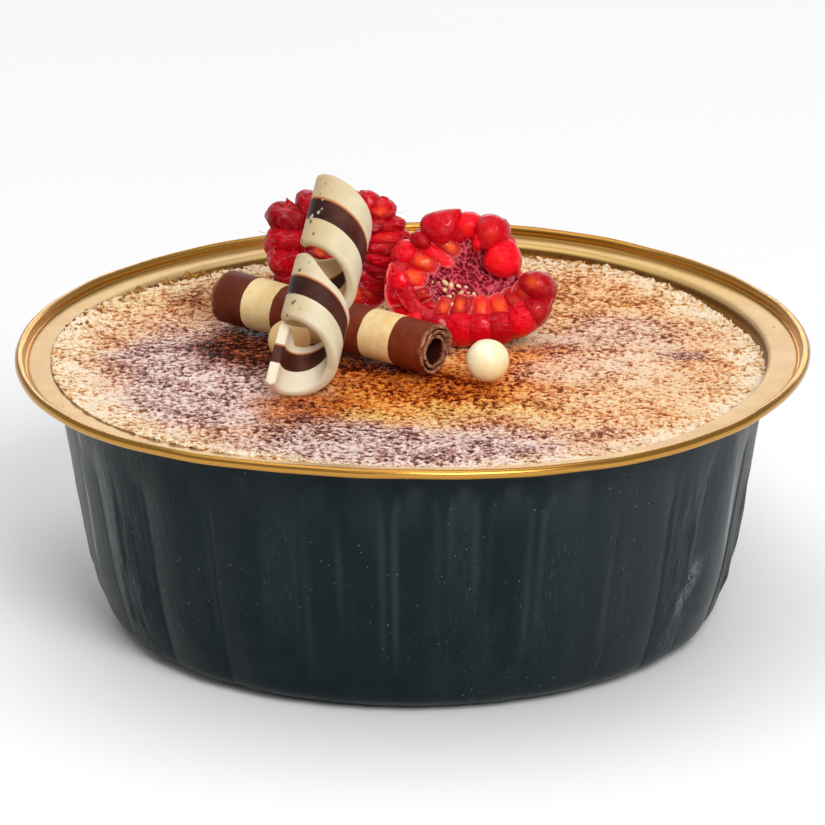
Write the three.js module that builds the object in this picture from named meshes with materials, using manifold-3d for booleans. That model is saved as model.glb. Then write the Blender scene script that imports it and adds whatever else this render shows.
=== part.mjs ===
// Creme brulee in a pressed foil cup, topped with two raspberry halves, a striped
// chocolate curl, a striped chocolate roll and two white pearls.
// Millimetres, +Z up, origin at the middle of the cup's base, front of the dessert at -Y.
import * as THREE from 'three';
import { mergeVertices } from 'three/addons/utils/BufferGeometryUtils.js';
import Module from 'manifold-3d';

const wasm = await Module();
wasm.setup();

// ---- Driving dimensions -------------------------------------------------------------
const GAP = 0.3; // clearance between two pieces that touch

// Foil cup
const FOIL = 0.35; // foil thickness
const CUP_HEIGHT = 33.6; // base to the top of the rolled bead
const BEAD_RADIUS = 0.6;
const RIM_RADIUS = 47.5; // outside of the bead
const FLANGE_Z = 32.6; // upper face of the flat rim
const FLANGE_OUTER = 45.9; // groove between the bead and the flange
const FLANGE_INNER = 42.9; // where the flange turns down into the wall
const GROOVE_DEPTH = 0.25;
const CUP_SEGMENTS = 56;
// Outside of the wall: radius at each height, from the flat base up to the flange
const WALL_STATIONS = [
  [33.4, 0],
  [36.0, 1.5],
  [37.2, 4.2],
  [38.2, 7.4],
  [39.1, 11.5],
  [40.7, 21.0],
  [42.5, 31.4],
];
const WALL_STEPS = 8;
// Soft upright flutes pressed in the wall: count round the cup, depth, phase
const FLUTES = [
  [7, 0.16, 0.9],
  [13, 0.14, 2.3],
  [22, 0.07, 4.1],
];
// The rim is slightly out of flat: waves round it, height, phase
const RIM_WAVES = [
  [1, 0.4, 0.42],
  [2, 0.36, 2.84],
  [3, 0.16, 1.05],
  [4, 0.22, -0.8],
];

// Custard
const CUSTARD_LEVEL = 31.3; // middle of the browned top
const CUSTARD_RINGS = 6;
// Unevenness of the top: length of the wave, direction of travel, height
const TOP_WAVES = [
  [170, -2.8, 0.45],
  [34, 2.1, 0.12],
  [23, 4.4, 0.08],
];

// Raspberry halves: length along the berry, height of the cut face, depth behind it
// and how far the mouth of its hollow turns up (radians)
const BERRY_FRONT = { length: 20.8, height: 16.0, depth: 7.4, mouth: 0.5 };
const BERRY_BACK = { length: 18.2, height: 15.4, depth: 7.2, mouth: -0.1 };
const DRUPELET_RADIUS = 1.9;
const DRUPELET_ROWS = 5;
const HOLLOW = { length: 14.0, width: 5.2 }; // where the stalk's core came out

// Chocolate curl: a striped ribbon wound left-handed round a leaning axis
const CURL_RADIUS = 4.0; // outside of the curl
const CURL_THICKNESS = 1.4;
const CURL_TURNS = 2;
const CURL_PITCH = 10.5;
const CURL_TIGHTENING = 1.5; // how much the last turn falls short of the pitch
const CURL_SAG = 0.9; // how much the last half turn droops below the helix
const CURL_WIDTH_TOP = 8.9;
const CURL_WIDTH_END = 7.5;
const CURL_STEPS = 44;
const CURL_FOOT = new THREE.Vector3(-12.7, -13.6, 36.2); // axis at the lower cut end
const CURL_AXIS = new THREE.Vector3(0.22, 0.656, 0.72).normalize();

// Chocolate roll: a thin sheet rolled up, lying on the custard
const ROLL_RADIUS = 3.3;
const ROLL_LENGTH = 32.0;
const ROLL_SHEET = 0.4;
const ROLL_TURNS = 2.8;
const ROLL_LAYER_PITCH = 0.62;
const ROLL_STEPS_PER_TURN = 20;
const ROLL_MIDDLE = new THREE.Vector3(-9.7, 3.5, 34.9);
const ROLL_HEADING = Math.atan2(-19.6, 25.5);

// White pearls
const PEARL_RADIUS = 2.6;
const PEARL_FRONT = new THREE.Vector3(8.9, -8.5, 34.4);
const PEARL_BACK = new THREE.Vector3(-14.7, -1.2, 34.5);

// ---- Materials ----------------------------------------------------------------------
function material(color, roughness, metalness) {
  return new THREE.MeshStandardMaterial({ color, roughness, metalness });
}

const foilMaterial = material(0x2b3436, 0.45, 0.4);
const custardMaterial = material(0xc98d58, 0.6, 0);
const raspberryMaterial = material(0xb80f22, 0.3, 0);
const curlMaterial = material(0xe9ddc2, 0.45, 0);
const rollMaterial = material(0x6b3322, 0.55, 0);
const pearlMaterial = material(0xf6e6bf, 0.3, 0);

// ---- Small helpers ------------------------------------------------------------------
// Bare positions only, with shared vertices merged, so that the surface is closed
function weld(geometry) {
  const bare = geometry.clone();
  bare.deleteAttribute('normal');
  bare.deleteAttribute('uv');
  return mergeVertices(bare, 1e-4);
}

// Moves every vertex by a function that changes the point it is given
function displace(geometry, move) {
  const position = geometry.attributes.position;
  const point = new THREE.Vector3();
  for (let i = 0; i < position.count; i += 1) {
    point.fromBufferAttribute(position, i);
    move(point);
    position.setXYZ(i, point.x, point.y, point.z);
  }
  return geometry;
}

function finish(geometry) {
  geometry.computeVertexNormals();
  return geometry;
}

function toSolid(geometry) {
  const welded = weld(geometry);
  return new wasm.Manifold(new wasm.Mesh({
    numProp: 3,
    vertProperties: new Float32Array(welded.attributes.position.array),
    triVerts: new Uint32Array(welded.index.array),
  }));
}

function fromSolid(solid) {
  const mesh = solid.getMesh();
  const geometry = new THREE.BufferGeometry();
  geometry.setAttribute('position', new THREE.BufferAttribute(mesh.vertProperties, 3));
  geometry.setIndex(new THREE.BufferAttribute(mesh.triVerts, 1));
  return finish(geometry);
}

// ---- Foil cup -----------------------------------------------------------------------
function sumOfWaves(waves, angle) {
  return waves.reduce((sum, [count, size, phase]) => sum + size * Math.cos(count * angle - phase), 0);
}

// Leaves the base flat and the rim round, flutes the wall between them, waves the rim
function pressFoil(point) {
  const angle = Math.atan2(point.y, point.x);
  const radius = Math.hypot(point.x, point.y);
  const height = THREE.MathUtils.clamp(point.z / FLANGE_Z, 0, 1);
  const onWall = THREE.MathUtils.smoothstep(height, 0.08, 0.35)
    * (1 - THREE.MathUtils.smoothstep(height, 0.7, 0.98))
    * THREE.MathUtils.smoothstep(radius, 30, 34);
  const stretch = 1 + (sumOfWaves(FLUTES, angle) * onWall) / Math.max(radius, 1);
  point.x *= stretch;
  point.y *= stretch;
  point.z += sumOfWaves(RIM_WAVES, angle) * height * height;
}

// Radius of the wall's outside at evenly spread places from the base to the flange
function wallCurve() {
  const stations = WALL_STATIONS.map(([radius, z]) => new THREE.Vector2(radius, z));
  return new THREE.SplineCurve(stations);
}

function offsetInward(points, distance) {
  return points.map((point, i) => {
    const before = points[Math.max(i - 1, 0)];
    const after = points[Math.min(i + 1, points.length - 1)];
    const along = new THREE.Vector2().subVectors(after, before).normalize();
    return new THREE.Vector2(point.x - along.y * distance, point.y + along.x * distance);
  });
}

function cupProfile() {
  const outside = wallCurve().getPoints(WALL_STEPS);
  const inside = offsetInward(outside, FOIL).slice(1);
  const underFlange = FLANGE_Z - FOIL;
  const beadZ = CUP_HEIGHT - BEAD_RADIUS;
  const beadX = RIM_RADIUS - BEAD_RADIUS;
  const bead = [-100, -50, 0, 45, 90, 135, 175].map((degrees) => {
    const turn = THREE.MathUtils.degToRad(degrees);
    return new THREE.Vector2(
      beadX + BEAD_RADIUS * Math.cos(turn),
      beadZ + BEAD_RADIUS * Math.sin(turn),
    );
  });
  return [
    new THREE.Vector2(0, 0),
    ...outside,
    new THREE.Vector2(FLANGE_INNER + FOIL, underFlange),
    ...bead,
    new THREE.Vector2(FLANGE_OUTER + 0.25, FLANGE_Z - GROOVE_DEPTH + 0.1),
    new THREE.Vector2(FLANGE_OUTER - 0.25, FLANGE_Z),
    new THREE.Vector2(FLANGE_INNER, FLANGE_Z),
    ...inside.reverse(),
    new THREE.Vector2(outside[0].x - FOIL, FOIL),
    new THREE.Vector2(0, FOIL),
  ];
}

function foilCup() {
  const lathe = new THREE.LatheGeometry(cupProfile(), CUP_SEGMENTS);
  lathe.rotateX(Math.PI / 2);
  return finish(displace(weld(lathe), pressFoil));
}

// ---- Custard ------------------------------------------------------------------------
function topRelief(x, y) {
  return TOP_WAVES.reduce((sum, [wave, heading, height]) => {
    const along = x * Math.cos(heading) + y * Math.sin(heading);
    return sum + height * Math.sin((2 * Math.PI * along) / wave);
  }, 0);
}

function custard() {
  const side = offsetInward(wallCurve().getPoints(WALL_STEPS), FOIL + GAP)
    .slice(1)
    .filter((point) => point.y < CUSTARD_LEVEL - 1);
  const edge = side[side.length - 1];
  const slope = (WALL_STATIONS[6][0] - WALL_STATIONS[5][0]) / (WALL_STATIONS[6][1] - WALL_STATIONS[5][1]);
  const rimRadius = edge.x + slope * (CUSTARD_LEVEL - edge.y);
  const top = [];
  for (let ring = 0; ring <= CUSTARD_RINGS; ring += 1) {
    top.push(new THREE.Vector2(rimRadius * (1 - ring / CUSTARD_RINGS), CUSTARD_LEVEL));
  }
  const floorZ = FOIL + GAP;
  const profile = [
    new THREE.Vector2(0, floorZ),
    new THREE.Vector2(side[0].x - 1.5, floorZ),
    ...side,
    ...top,
  ];
  const lathe = new THREE.LatheGeometry(profile, CUP_SEGMENTS);
  lathe.rotateX(Math.PI / 2);
  return finish(displace(weld(lathe), (point) => {
    const onTop = point.z > CUSTARD_LEVEL - 0.01;
    pressFoil(point);
    if (onTop) {
      point.z = CUSTARD_LEVEL + topRelief(point.x, point.y);
    }
  }));
}

// ---- Raspberry halves ---------------------------------------------------------------
function ellipsoid(length, height, depth, detail) {
  const ball = new THREE.IcosahedronGeometry(1, detail);
  ball.scale(length / 2, height / 2, depth);
  return toSolid(ball);
}

// Berry along X with its tip at -X, cut face in the plane Z = 0, round side at -Z
function raspberryHalf({ length, height, depth, mouth }, seed) {
  const inset = DRUPELET_RADIUS * 0.8;
  const core = { length: length - 2 * inset, height: height - 2 * inset, depth: depth - inset };
  let berry = ellipsoid(core.length + 1, core.height + 1, core.depth + 0.5, 2);
  for (let row = 0; row < DRUPELET_ROWS; row += 1) {
    const polar = (Math.PI * (row + 0.35)) / DRUPELET_ROWS;
    const around = Math.max(1, Math.round(5.7 * Math.sin(polar)));
    for (let k = 0; k < around; k += 1) {
      const turn = (Math.PI * (k + 0.5 + 0.12 * Math.sin(seed + 3 * k + row))) / around;
      const size = DRUPELET_RADIUS * (1 + 0.1 * Math.sin(seed + 5 * k + 2 * row));
      const ball = new THREE.IcosahedronGeometry(size, 1);
      ball.translate(
        (-core.length / 2) * Math.cos(polar),
        (core.height / 2) * Math.sin(polar) * Math.cos(turn),
        -core.depth * Math.sin(polar) * Math.sin(turn),
      );
      berry = berry.add(toSolid(ball));
    }
  }
  const knife = new THREE.BoxGeometry(length * 2, height * 2, depth * 2);
  knife.translate(0, 0, depth);
  const hollow = new THREE.IcosahedronGeometry(1, 1);
  hollow.scale(HOLLOW.length / 2, HOLLOW.width / 2, HOLLOW.width / 2);
  hollow.translate(length / 2 - HOLLOW.length / 4, 0, 0);
  hollow.rotateZ(mouth);
  return fromSolid(berry.subtract(toSolid(knife)).subtract(toSolid(hollow)));
}

// ---- Chocolate curl -----------------------------------------------------------------
// A flat strip bent round the curl's axis, which is the strip's own Z before it is leaned
function chocolateCurl() {
  const strip = new THREE.BoxGeometry(1, 1, CURL_THICKNESS, CURL_STEPS, 1, 1);
  const middleRadius = CURL_RADIUS - CURL_THICKNESS / 2;
  displace(strip, (point) => {
    const turns = CURL_TURNS * (point.x + 0.5);
    const last = Math.max(0, turns - 1);
    const lastHalf = Math.max(0, 2 * turns - 3);
    const drop = CURL_PITCH * turns - CURL_TIGHTENING * last ** 3
      + CURL_SAG * Math.sin(Math.PI * lastHalf);
    const width = THREE.MathUtils.lerp(CURL_WIDTH_TOP, CURL_WIDTH_END, turns / CURL_TURNS);
    const length = CURL_PITCH * CURL_TURNS - CURL_TIGHTENING;
    const angle = Math.PI + 2 * Math.PI * turns;
    const radius = middleRadius + point.z;
    point.set(
      radius * Math.cos(angle),
      radius * Math.sin(angle),
      length - drop + point.y * width,
    );
  });
  return finish(weld(strip));
}

// ---- Chocolate roll -----------------------------------------------------------------
// Spiral section of the rolled sheet, drawn out along Z
function chocolateRoll() {
  const steps = Math.round(ROLL_TURNS * ROLL_STEPS_PER_TURN);
  const outer = [];
  const inner = [];
  for (let i = 0; i <= steps; i += 1) {
    const turns = i / ROLL_STEPS_PER_TURN;
    const radius = ROLL_RADIUS - ROLL_LAYER_PITCH * turns;
    const angle = 2 * Math.PI * turns - 0.6;
    outer.push(new THREE.Vector2(radius * Math.cos(angle), radius * Math.sin(angle)));
    inner.push(new THREE.Vector2(
      (radius - ROLL_SHEET) * Math.cos(angle),
      (radius - ROLL_SHEET) * Math.sin(angle),
    ));
  }
  const section = new THREE.Shape([...outer, ...inner.reverse()]);
  const roll = new THREE.ExtrudeGeometry(section, { depth: ROLL_LENGTH, bevelEnabled: false, steps: 1 });
  roll.translate(0, 0, -ROLL_LENGTH / 2);
  return finish(weld(roll));
}

// ---- Pearls -------------------------------------------------------------------------
function pearl() {
  return finish(weld(new THREE.IcosahedronGeometry(PEARL_RADIUS, 2)));
}

// ---- The whole dessert --------------------------------------------------------------
const dessert = new THREE.Group();

function place(name, geometry, meshMaterial) {
  const mesh = new THREE.Mesh(geometry, meshMaterial);
  mesh.name = name;
  dessert.add(mesh);
  return mesh;
}

// Turns a berry half so that its cut face looks along `face` and its length along `along`
function standOnEdge(mesh, centre, face, along) {
  const normal = face.clone().normalize();
  const length = along.clone().addScaledVector(normal, -along.dot(normal)).normalize();
  const up = new THREE.Vector3().crossVectors(normal, length);
  mesh.quaternion.setFromRotationMatrix(new THREE.Matrix4().makeBasis(length, up, normal));
  mesh.position.copy(centre);
}

place('foil_cup', foilCup(), foilMaterial);
place('custard', custard(), custardMaterial);

standOnEdge(
  place('raspberry_half_front', raspberryHalf(BERRY_FRONT, 1.0), raspberryMaterial),
  new THREE.Vector3(6.6, 7.0, 39.5),
  new THREE.Vector3(-0.05, -0.93, 0.36),
  new THREE.Vector3(1, 0, -0.06),
);
standOnEdge(
  place('raspberry_half_back', raspberryHalf(BERRY_BACK, 2.6), raspberryMaterial),
  new THREE.Vector3(-9.3, 15.4, 40.6),
  new THREE.Vector3(0.1, -0.95, 0.3),
  new THREE.Vector3(1, 0, -0.2),
);

const curl = place('chocolate_curl', chocolateCurl(), curlMaterial);
curl.position.copy(CURL_FOOT);
curl.quaternion.setFromUnitVectors(new THREE.Vector3(0, 0, 1), CURL_AXIS);

const roll = place('chocolate_roll', chocolateRoll(), rollMaterial);
roll.rotation.set(Math.PI / 2, Math.PI / 2 + ROLL_HEADING, 0, 'XYZ');
roll.position.copy(ROLL_MIDDLE);

place('pearl_front', pearl(), pearlMaterial).position.copy(PEARL_FRONT);
place('pearl_back', pearl(), pearlMaterial).position.copy(PEARL_BACK);

export default dessert;
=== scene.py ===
import math
import random

import bpy
import numpy as np
from mathutils import Matrix, Vector


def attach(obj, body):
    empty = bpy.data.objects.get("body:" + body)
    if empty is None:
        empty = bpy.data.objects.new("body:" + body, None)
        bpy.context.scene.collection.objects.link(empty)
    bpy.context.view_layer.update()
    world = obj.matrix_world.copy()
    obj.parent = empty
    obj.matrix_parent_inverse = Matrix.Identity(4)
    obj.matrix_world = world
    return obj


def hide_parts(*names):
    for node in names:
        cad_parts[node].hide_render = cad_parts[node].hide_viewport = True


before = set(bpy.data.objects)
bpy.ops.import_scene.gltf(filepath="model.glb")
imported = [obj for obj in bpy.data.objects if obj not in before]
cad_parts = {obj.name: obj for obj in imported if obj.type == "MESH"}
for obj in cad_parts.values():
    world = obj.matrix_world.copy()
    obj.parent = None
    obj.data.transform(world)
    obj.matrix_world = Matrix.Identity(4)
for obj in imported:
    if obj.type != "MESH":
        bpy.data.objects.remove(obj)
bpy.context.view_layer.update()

# ---------------------------------------------------------------------------------------
# Foil cup. Thin aluminium pressed in a die: dark lacquer outside, gold lacquer inside and
# on the flat rim, whose edge is rolled over into a bead. The wall keeps the shallow
# flutes and the fine upright creases of the pressing, and one wrinkled dent.

MM = 0.001


class Wire:
    """A value on its way through a node tree. Arithmetic on it adds Math nodes."""

    def __init__(self, sheet, socket):
        self.sheet = sheet
        self.socket = socket

    def math(self, operation, *values):
        return self.sheet.node(
            "ShaderNodeMath", {"operation": operation}, dict(enumerate(values))
        )

    def __add__(self, other):
        return self.math("ADD", self, other)

    def __radd__(self, other):
        return self.math("ADD", other, self)

    def __sub__(self, other):
        return self.math("SUBTRACT", self, other)

    def __rsub__(self, other):
        return self.math("SUBTRACT", other, self)

    def __mul__(self, other):
        return self.math("MULTIPLY", self, other)

    def __rmul__(self, other):
        return self.math("MULTIPLY", other, self)

    def __truediv__(self, other):
        return self.math("DIVIDE", self, other)

    def __rtruediv__(self, other):
        return self.math("DIVIDE", other, self)

    def __pow__(self, other):
        return self.math("POWER", self, other)

    def of(self, operation, *others):
        return self.math(operation, self, *others)

    def rise(self, low, high):
        """0 below low, 1 above high, smooth between them."""
        return self.sheet.node(
            "ShaderNodeMapRange",
            {"interpolation_type": "SMOOTHSTEP"},
            {"Value": self, "From Min": low, "From Max": high},
        )

    def also(self, output):
        """Another output of the node that this value comes from."""
        return Wire(self.sheet, self.socket.node.outputs[output])


class Sheet:
    """A node tree being drawn up."""

    def __init__(self, tree):
        self.tree = tree

    def node(self, kind, settings=None, inputs=None, output=0):
        made = self.tree.nodes.new(kind)
        for name, value in (settings or {}).items():
            setattr(made, name, value)
        for key, value in (inputs or {}).items():
            if isinstance(value, Wire):
                self.tree.links.new(value.socket, made.inputs[key])
            elif value is not None:
                made.inputs[key].default_value = value
        return Wire(self, made.outputs[output] if made.outputs else None)

    def noise(self, place, scale, detail=2.0, roughness=0.5, seed=0.0):
        return self.node(
            "ShaderNodeTexNoise",
            {"noise_dimensions": "4D"},
            {"Vector": place, "W": seed, "Scale": scale, "Detail": detail, "Roughness": roughness},
        )

    def vector(self, x, y, z):
        return self.node("ShaderNodeCombineXYZ", None, {0: x, 1: y, 2: z})

    def split(self, vector):
        first = self.node("ShaderNodeSeparateXYZ", None, {0: vector})
        return first, first.also(1), first.also(2)


def paint(text):
    """A colour written as six hex digits, turned into the linear values a shader takes."""
    values = [int(text[i:i + 2], 16) / 255 for i in (0, 2, 4)]
    return tuple(v / 12.92 if v <= 0.04045 else ((v + 0.055) / 1.055) ** 2.4 for v in values) + (1.0,)


class Finish(Sheet):
    """A material of one Principled surface, its pattern in object coordinates (millimetres)."""

    def __init__(self, name):
        self.material = bpy.data.materials.new(name)
        self.material.use_nodes = True
        super().__init__(self.material.node_tree)
        self.tree.nodes.clear()
        coordinates = self.node("ShaderNodeTexCoord", None, None, "Object")
        self.place = self.node(
            "ShaderNodeVectorMath", {"operation": "SCALE"}, {0: coordinates, "Scale": 1000.0}
        )

    def mix(self, factor, first, second):
        first, second = (paint(c) if isinstance(c, str) else c for c in (first, second))
        return self.node(
            "ShaderNodeMix", {"data_type": "RGBA"}, {0: factor, 6: first, 7: second}, 2
        )

    def coats(self, base, *coats):
        """A colour with more laid over it, one (amount, colour) after the other."""
        for amount, colour in coats:
            base = self.mix(amount, base, colour)
        return base

    def grain(self, *settings):
        """Noise fixed to the piece: scale, detail, roughness and seed."""
        return self.noise(self.place, *settings)

    def named(self, attribute):
        return self.node("ShaderNodeAttribute", {"attribute_name": attribute}, None, "Fac")

    def bump(self, height, strength, distance):
        return self.node(
            "ShaderNodeBump", None,
            {"Height": height, "Strength": strength, "Distance": distance * MM},
        )

    def surface(self, **sockets):
        """Joins the Principled shader. Underscores in the names stand for spaces."""
        shader = self.node(
            "ShaderNodeBsdfPrincipled",
            {"subsurface_method": "RANDOM_WALK"},
            {name.replace("_", " "): value for name, value in sockets.items()},
        )
        self.node("ShaderNodeOutputMaterial", None, {"Surface": shader})
        return self.material


def translucent(weight, radius, depth):
    """Settings for light that goes in under the surface, its depth in millimetres."""
    return {
        "Subsurface_Weight": weight, "Subsurface_Radius": radius, "Subsurface_Scale": depth * MM,
    }


def smooth_step(low, high, value):
    t = np.clip((value - low) / (high - low), 0, 1)
    return t * t * (3 - 2 * t)


def degrees_off(angle, bearing):
    """How far an angle lies past a bearing, the shorter way round."""
    return (angle - bearing + 180) % 360 - 180


def make_piece(name, points, faces, finishes, face_finish=None, attributes=None):
    """A smooth-shaded mesh object from points in millimetres, lists of corners, materials
    and, by name, a number for each point."""
    mesh = bpy.data.meshes.new(name)
    mesh.from_pydata((np.asarray(points, dtype=float) * MM).tolist(), [], faces)
    for finish in finishes:
        mesh.materials.append(finish)
    if face_finish is not None:
        mesh.polygons.foreach_set("material_index", np.asarray(face_finish, dtype=np.int32))
    mesh.polygons.foreach_set("use_smooth", np.ones(len(faces), dtype=bool))
    for label, values in (attributes or {}).items():
        layer = mesh.attributes.new(label, "FLOAT", "POINT")
        layer.data.foreach_set("value", np.asarray(values, dtype=np.float32))
    mesh.update()
    piece = bpy.data.objects.new(name, mesh)
    bpy.context.collection.objects.link(piece)
    return piece


def turned_faces(rings, around):
    """Quads between closed rings of points, each ring `around` points long, faces outwards
    when the rings run from the base outwards and up."""
    faces = []
    for ring in range(rings - 1):
        for k in range(around):
            nxt = (k + 1) % around
            low, high = ring * around, (ring + 1) * around
            faces.append((low + k, low + nxt, high + nxt, high + k))
    return faces


def spline_through(stations, count):
    """Points on the Catmull-Rom curve through the stations, evenly spread along them."""
    p = np.array(stations, dtype=float)
    p = np.vstack([p[:1], p, p[-1:]])
    t = np.linspace(0, len(stations) - 1 - 1e-9, count)
    i = t.astype(int)
    u = (t - i)[:, None]
    a, b, c, d = p[i], p[i + 1], p[i + 2], p[i + 3]
    square = (2 * a - 5 * b + 4 * c - d) * u**2
    cube = (3 * b - a - 3 * c + d) * u**3
    return 0.5 * (2 * b + (c - a) * u + square + cube)


RIM_RADIUS = 47.5
CUP_HEIGHT = 33.6
BEAD_RADIUS = 0.6
FLANGE_Z = 32.6
FLANGE_INNER = 42.9
FOIL = 0.25
WALL_STATIONS = [
    (33.4, 0.0), (36.0, 1.5), (37.2, 4.2), (38.2, 7.4), (39.1, 11.5), (40.7, 21.0), (42.5, 31.4),
]
# The rim waves up and down: how often round the cup, how much, and where each wave starts
RIM_WAVES = [(1, 0.40, 0.42), (2, 0.36, 2.84), (3, 0.16, 1.05), (4, 0.22, -0.8)]
CUP_AROUND = 960
WALL_RINGS = 42
BASE_RINGS = [(0.02, 0.0), (20, 0.0), (32.5, 0.0)]
# The flutes end above in arches: their tops, and how much lower the arches start
ARCH_TOP = 29.8
ARCH_DROP = 3.2
# Length of one degree round the middle of the wall
WALL_DEGREE = 0.69

# Creases of the wall in degrees from the front of the cup towards its right, then, round
# the back, one about every thirteen degrees
FRONT_CREASES = [-66, -50, -35, -19, -11, -4, 5, 11.5, 20.5, 36, 48, 57, 74]
crease_dice = random.Random(5)
creases = [float(angle) for angle in FRONT_CREASES]
while creases[-1] < 270:
    creases.append(creases[-1] + crease_dice.uniform(8, 17))
creases[-1] = creases[0] + 360
flute_depths = [crease_dice.uniform(0.2, 0.42) for _ in creases]
# The two on the left and the one with the dent are deepest
flute_depths[0] = 0.5
flute_depths[1] = 0.5
flute_depths[11] = 0.5


def flute_bulge(front_angle, z):
    """How far the wall stands out between its creases, and nothing above the arched tops,
    and where a highlight is painted beside the creases and over the arch tops.
    """
    edges = np.array(creases)
    turned = (front_angle - edges[0]) % 360 + edges[0]
    i = np.clip(np.searchsorted(edges, turned, side="right") - 1, 0, len(edges) - 2)
    across = (turned - edges[i]) / (edges[i + 1] - edges[i])
    depth = np.array(flute_depths)[i] * (edges[i + 1] - edges[i]) / 12
    below_arch = ARCH_TOP - ARCH_DROP * (2 * across - 1) ** 2 - z
    window = (0.6 + 0.4 * smooth_step(2.0, 7.0, z)) * smooth_step(0.0, 3.0, below_arch)
    flute_width = (edges[i + 1] - edges[i]) * WALL_DEGREE
    from_crease = np.maximum(np.minimum(across, 1 - across) * flute_width, 0.01)
    from_outline = 1 / (1 / from_crease ** 2 + 1 / np.maximum(below_arch, 0.01) ** 2) ** 0.5
    # Painted highlight: a pale line beside each crease and a pale cap over each arch top
    line = np.exp(-((from_outline - 0.75) / 0.42) ** 2) * smooth_step(4, 12, z)
    cap = np.exp(-((below_arch - 2.5) / 2.2) ** 2) * np.sin(np.pi * across)
    painted_flute_highlight = np.maximum(line, 0.6 * cap)
    return depth * (np.sin(np.pi * across) ** 0.7 - 0.6) * window, painted_flute_highlight


def wave_height(theta):
    """How far the rim rises above its level."""
    return sum(size * np.cos(count * theta - phase) for count, size, phase in RIM_WAVES)


# The dent leans: degrees from the front, height, half its width and length, depth
DENT_BEARING = 57.0
DENT_HEIGHT = 10.4
DENT_WIDTH = 1.5
DENT_LENGTH = 2.6
DENT_DEPTH = 0.35

# Two flutes near the sides carry a painted highlight streak: degrees from the front, how
# much it leans in degrees for each millimetre of height, half its width, its strength
GLEAM_STREAKS = [(67, 0.25, 0.9, 0.8), (-71, -0.18, 0.7, 1.0)]

wall = spline_through(WALL_STATIONS, WALL_RINGS)
wall_slope = np.gradient(wall, axis=0)
wall_slope /= np.linalg.norm(wall_slope, axis=1)[:, None]
wall_inside = wall + np.column_stack([-wall_slope[:, 1], wall_slope[:, 0]]) * FOIL
bead_turns = np.radians(np.linspace(-105, 200, 19))
bead = np.column_stack([
    RIM_RADIUS - BEAD_RADIUS + BEAD_RADIUS * np.cos(bead_turns),
    CUP_HEIGHT - BEAD_RADIUS + BEAD_RADIUS * np.sin(bead_turns),
])
under_rim = [(FLANGE_INNER + 0.25, 31.95), (FLANGE_INNER + 0.6, 32.3), (44.5, 32.32), (45.9, 32.3)]
over_rim = [
    (46.28, 32.45), (46.1, 32.38), (45.95, 32.46), (45.82, 32.56), (45.6, 32.6), (44.6, 32.6),
    (43.7, 32.6), (43.3, 32.6), (43.05, 32.57), (42.82, 32.49), (42.62, 32.37), (42.47, 32.2),
    (42.4, 31.95),
]
inside_shown = wall_inside[wall_inside[:, 1] > 26][::-1]
inside_hidden = wall_inside[wall_inside[:, 1] <= 26][::-5] - np.array([0.9, -0.3])
profile = np.vstack([
    BASE_RINGS, wall, under_rim, bead, over_rim, inside_shown, inside_hidden,
    [(20, 0.6), (0.02, 0.6)],
])
dark_rings = len(BASE_RINGS) + len(wall) + len(under_rim)
theta = np.linspace(0, 2 * np.pi, CUP_AROUND, endpoint=False)
front_angle = np.degrees(theta) + 90
radius = np.repeat(profile[:, 0][:, None], CUP_AROUND, axis=1)
height = np.repeat(profile[:, 1][:, None], CUP_AROUND, axis=1)
on_wall = smooth_step(30, 34, radius) * smooth_step(0, 0.3, 32.0 - height)
bulge, painted_flute_highlight = flute_bulge(front_angle[None, :], height)
radius = radius + bulge * on_wall
over_dent = height - DENT_HEIGHT
off_dent = degrees_off(front_angle[None, :], DENT_BEARING) * WALL_DEGREE - over_dent * 0.5
along_dent = over_dent * 0.9
dent = np.exp(-(off_dent / DENT_WIDTH) ** 2 - (along_dent / DENT_LENGTH) ** 2)
radius -= DENT_DEPTH * dent * on_wall * (1 + 0.5 * np.sin(5 * along_dent + 3 * off_dent))
gleam = np.zeros(height.shape)
for bearing, lean, width, strength in GLEAM_STREAKS:
    off_gleam = degrees_off(front_angle[None, :], bearing + (26 - height) * lean)
    gleam += strength * np.exp(-(off_gleam / width) ** 2)
gleam *= smooth_step(7, 13, height) * smooth_step(0, 3, 30 - height)
bead_wobble = 0.03 * np.cos(17 * theta + 1) + 0.02 * np.cos(29 * theta + 2)
height = height + bead_wobble * smooth_step(45.5, 46.5, radius) + wave_height(theta) * (
    np.clip(profile[:, 1] / FLANGE_Z, 0, 1)[:, None] ** 2
)
cup_points = np.column_stack([
    (radius * np.cos(theta)).ravel(), (radius * np.sin(theta)).ravel(), height.ravel(),
])
cup_faces = turned_faces(len(profile), CUP_AROUND)
cup_faces.append(tuple(range(CUP_AROUND - 1, -1, -1)))
top_ring = (len(profile) - 1) * CUP_AROUND
cup_faces.append(tuple(range(top_ring, top_ring + CUP_AROUND)))
gold_face = np.repeat(np.arange(len(profile) - 1) >= dark_rings, CUP_AROUND).astype(int)
gold_face = np.append(gold_face, [0, 1])
outside = np.repeat(
    (np.arange(len(profile)) < len(BASE_RINGS) + len(wall) - 1).astype(float), CUP_AROUND
)

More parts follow.
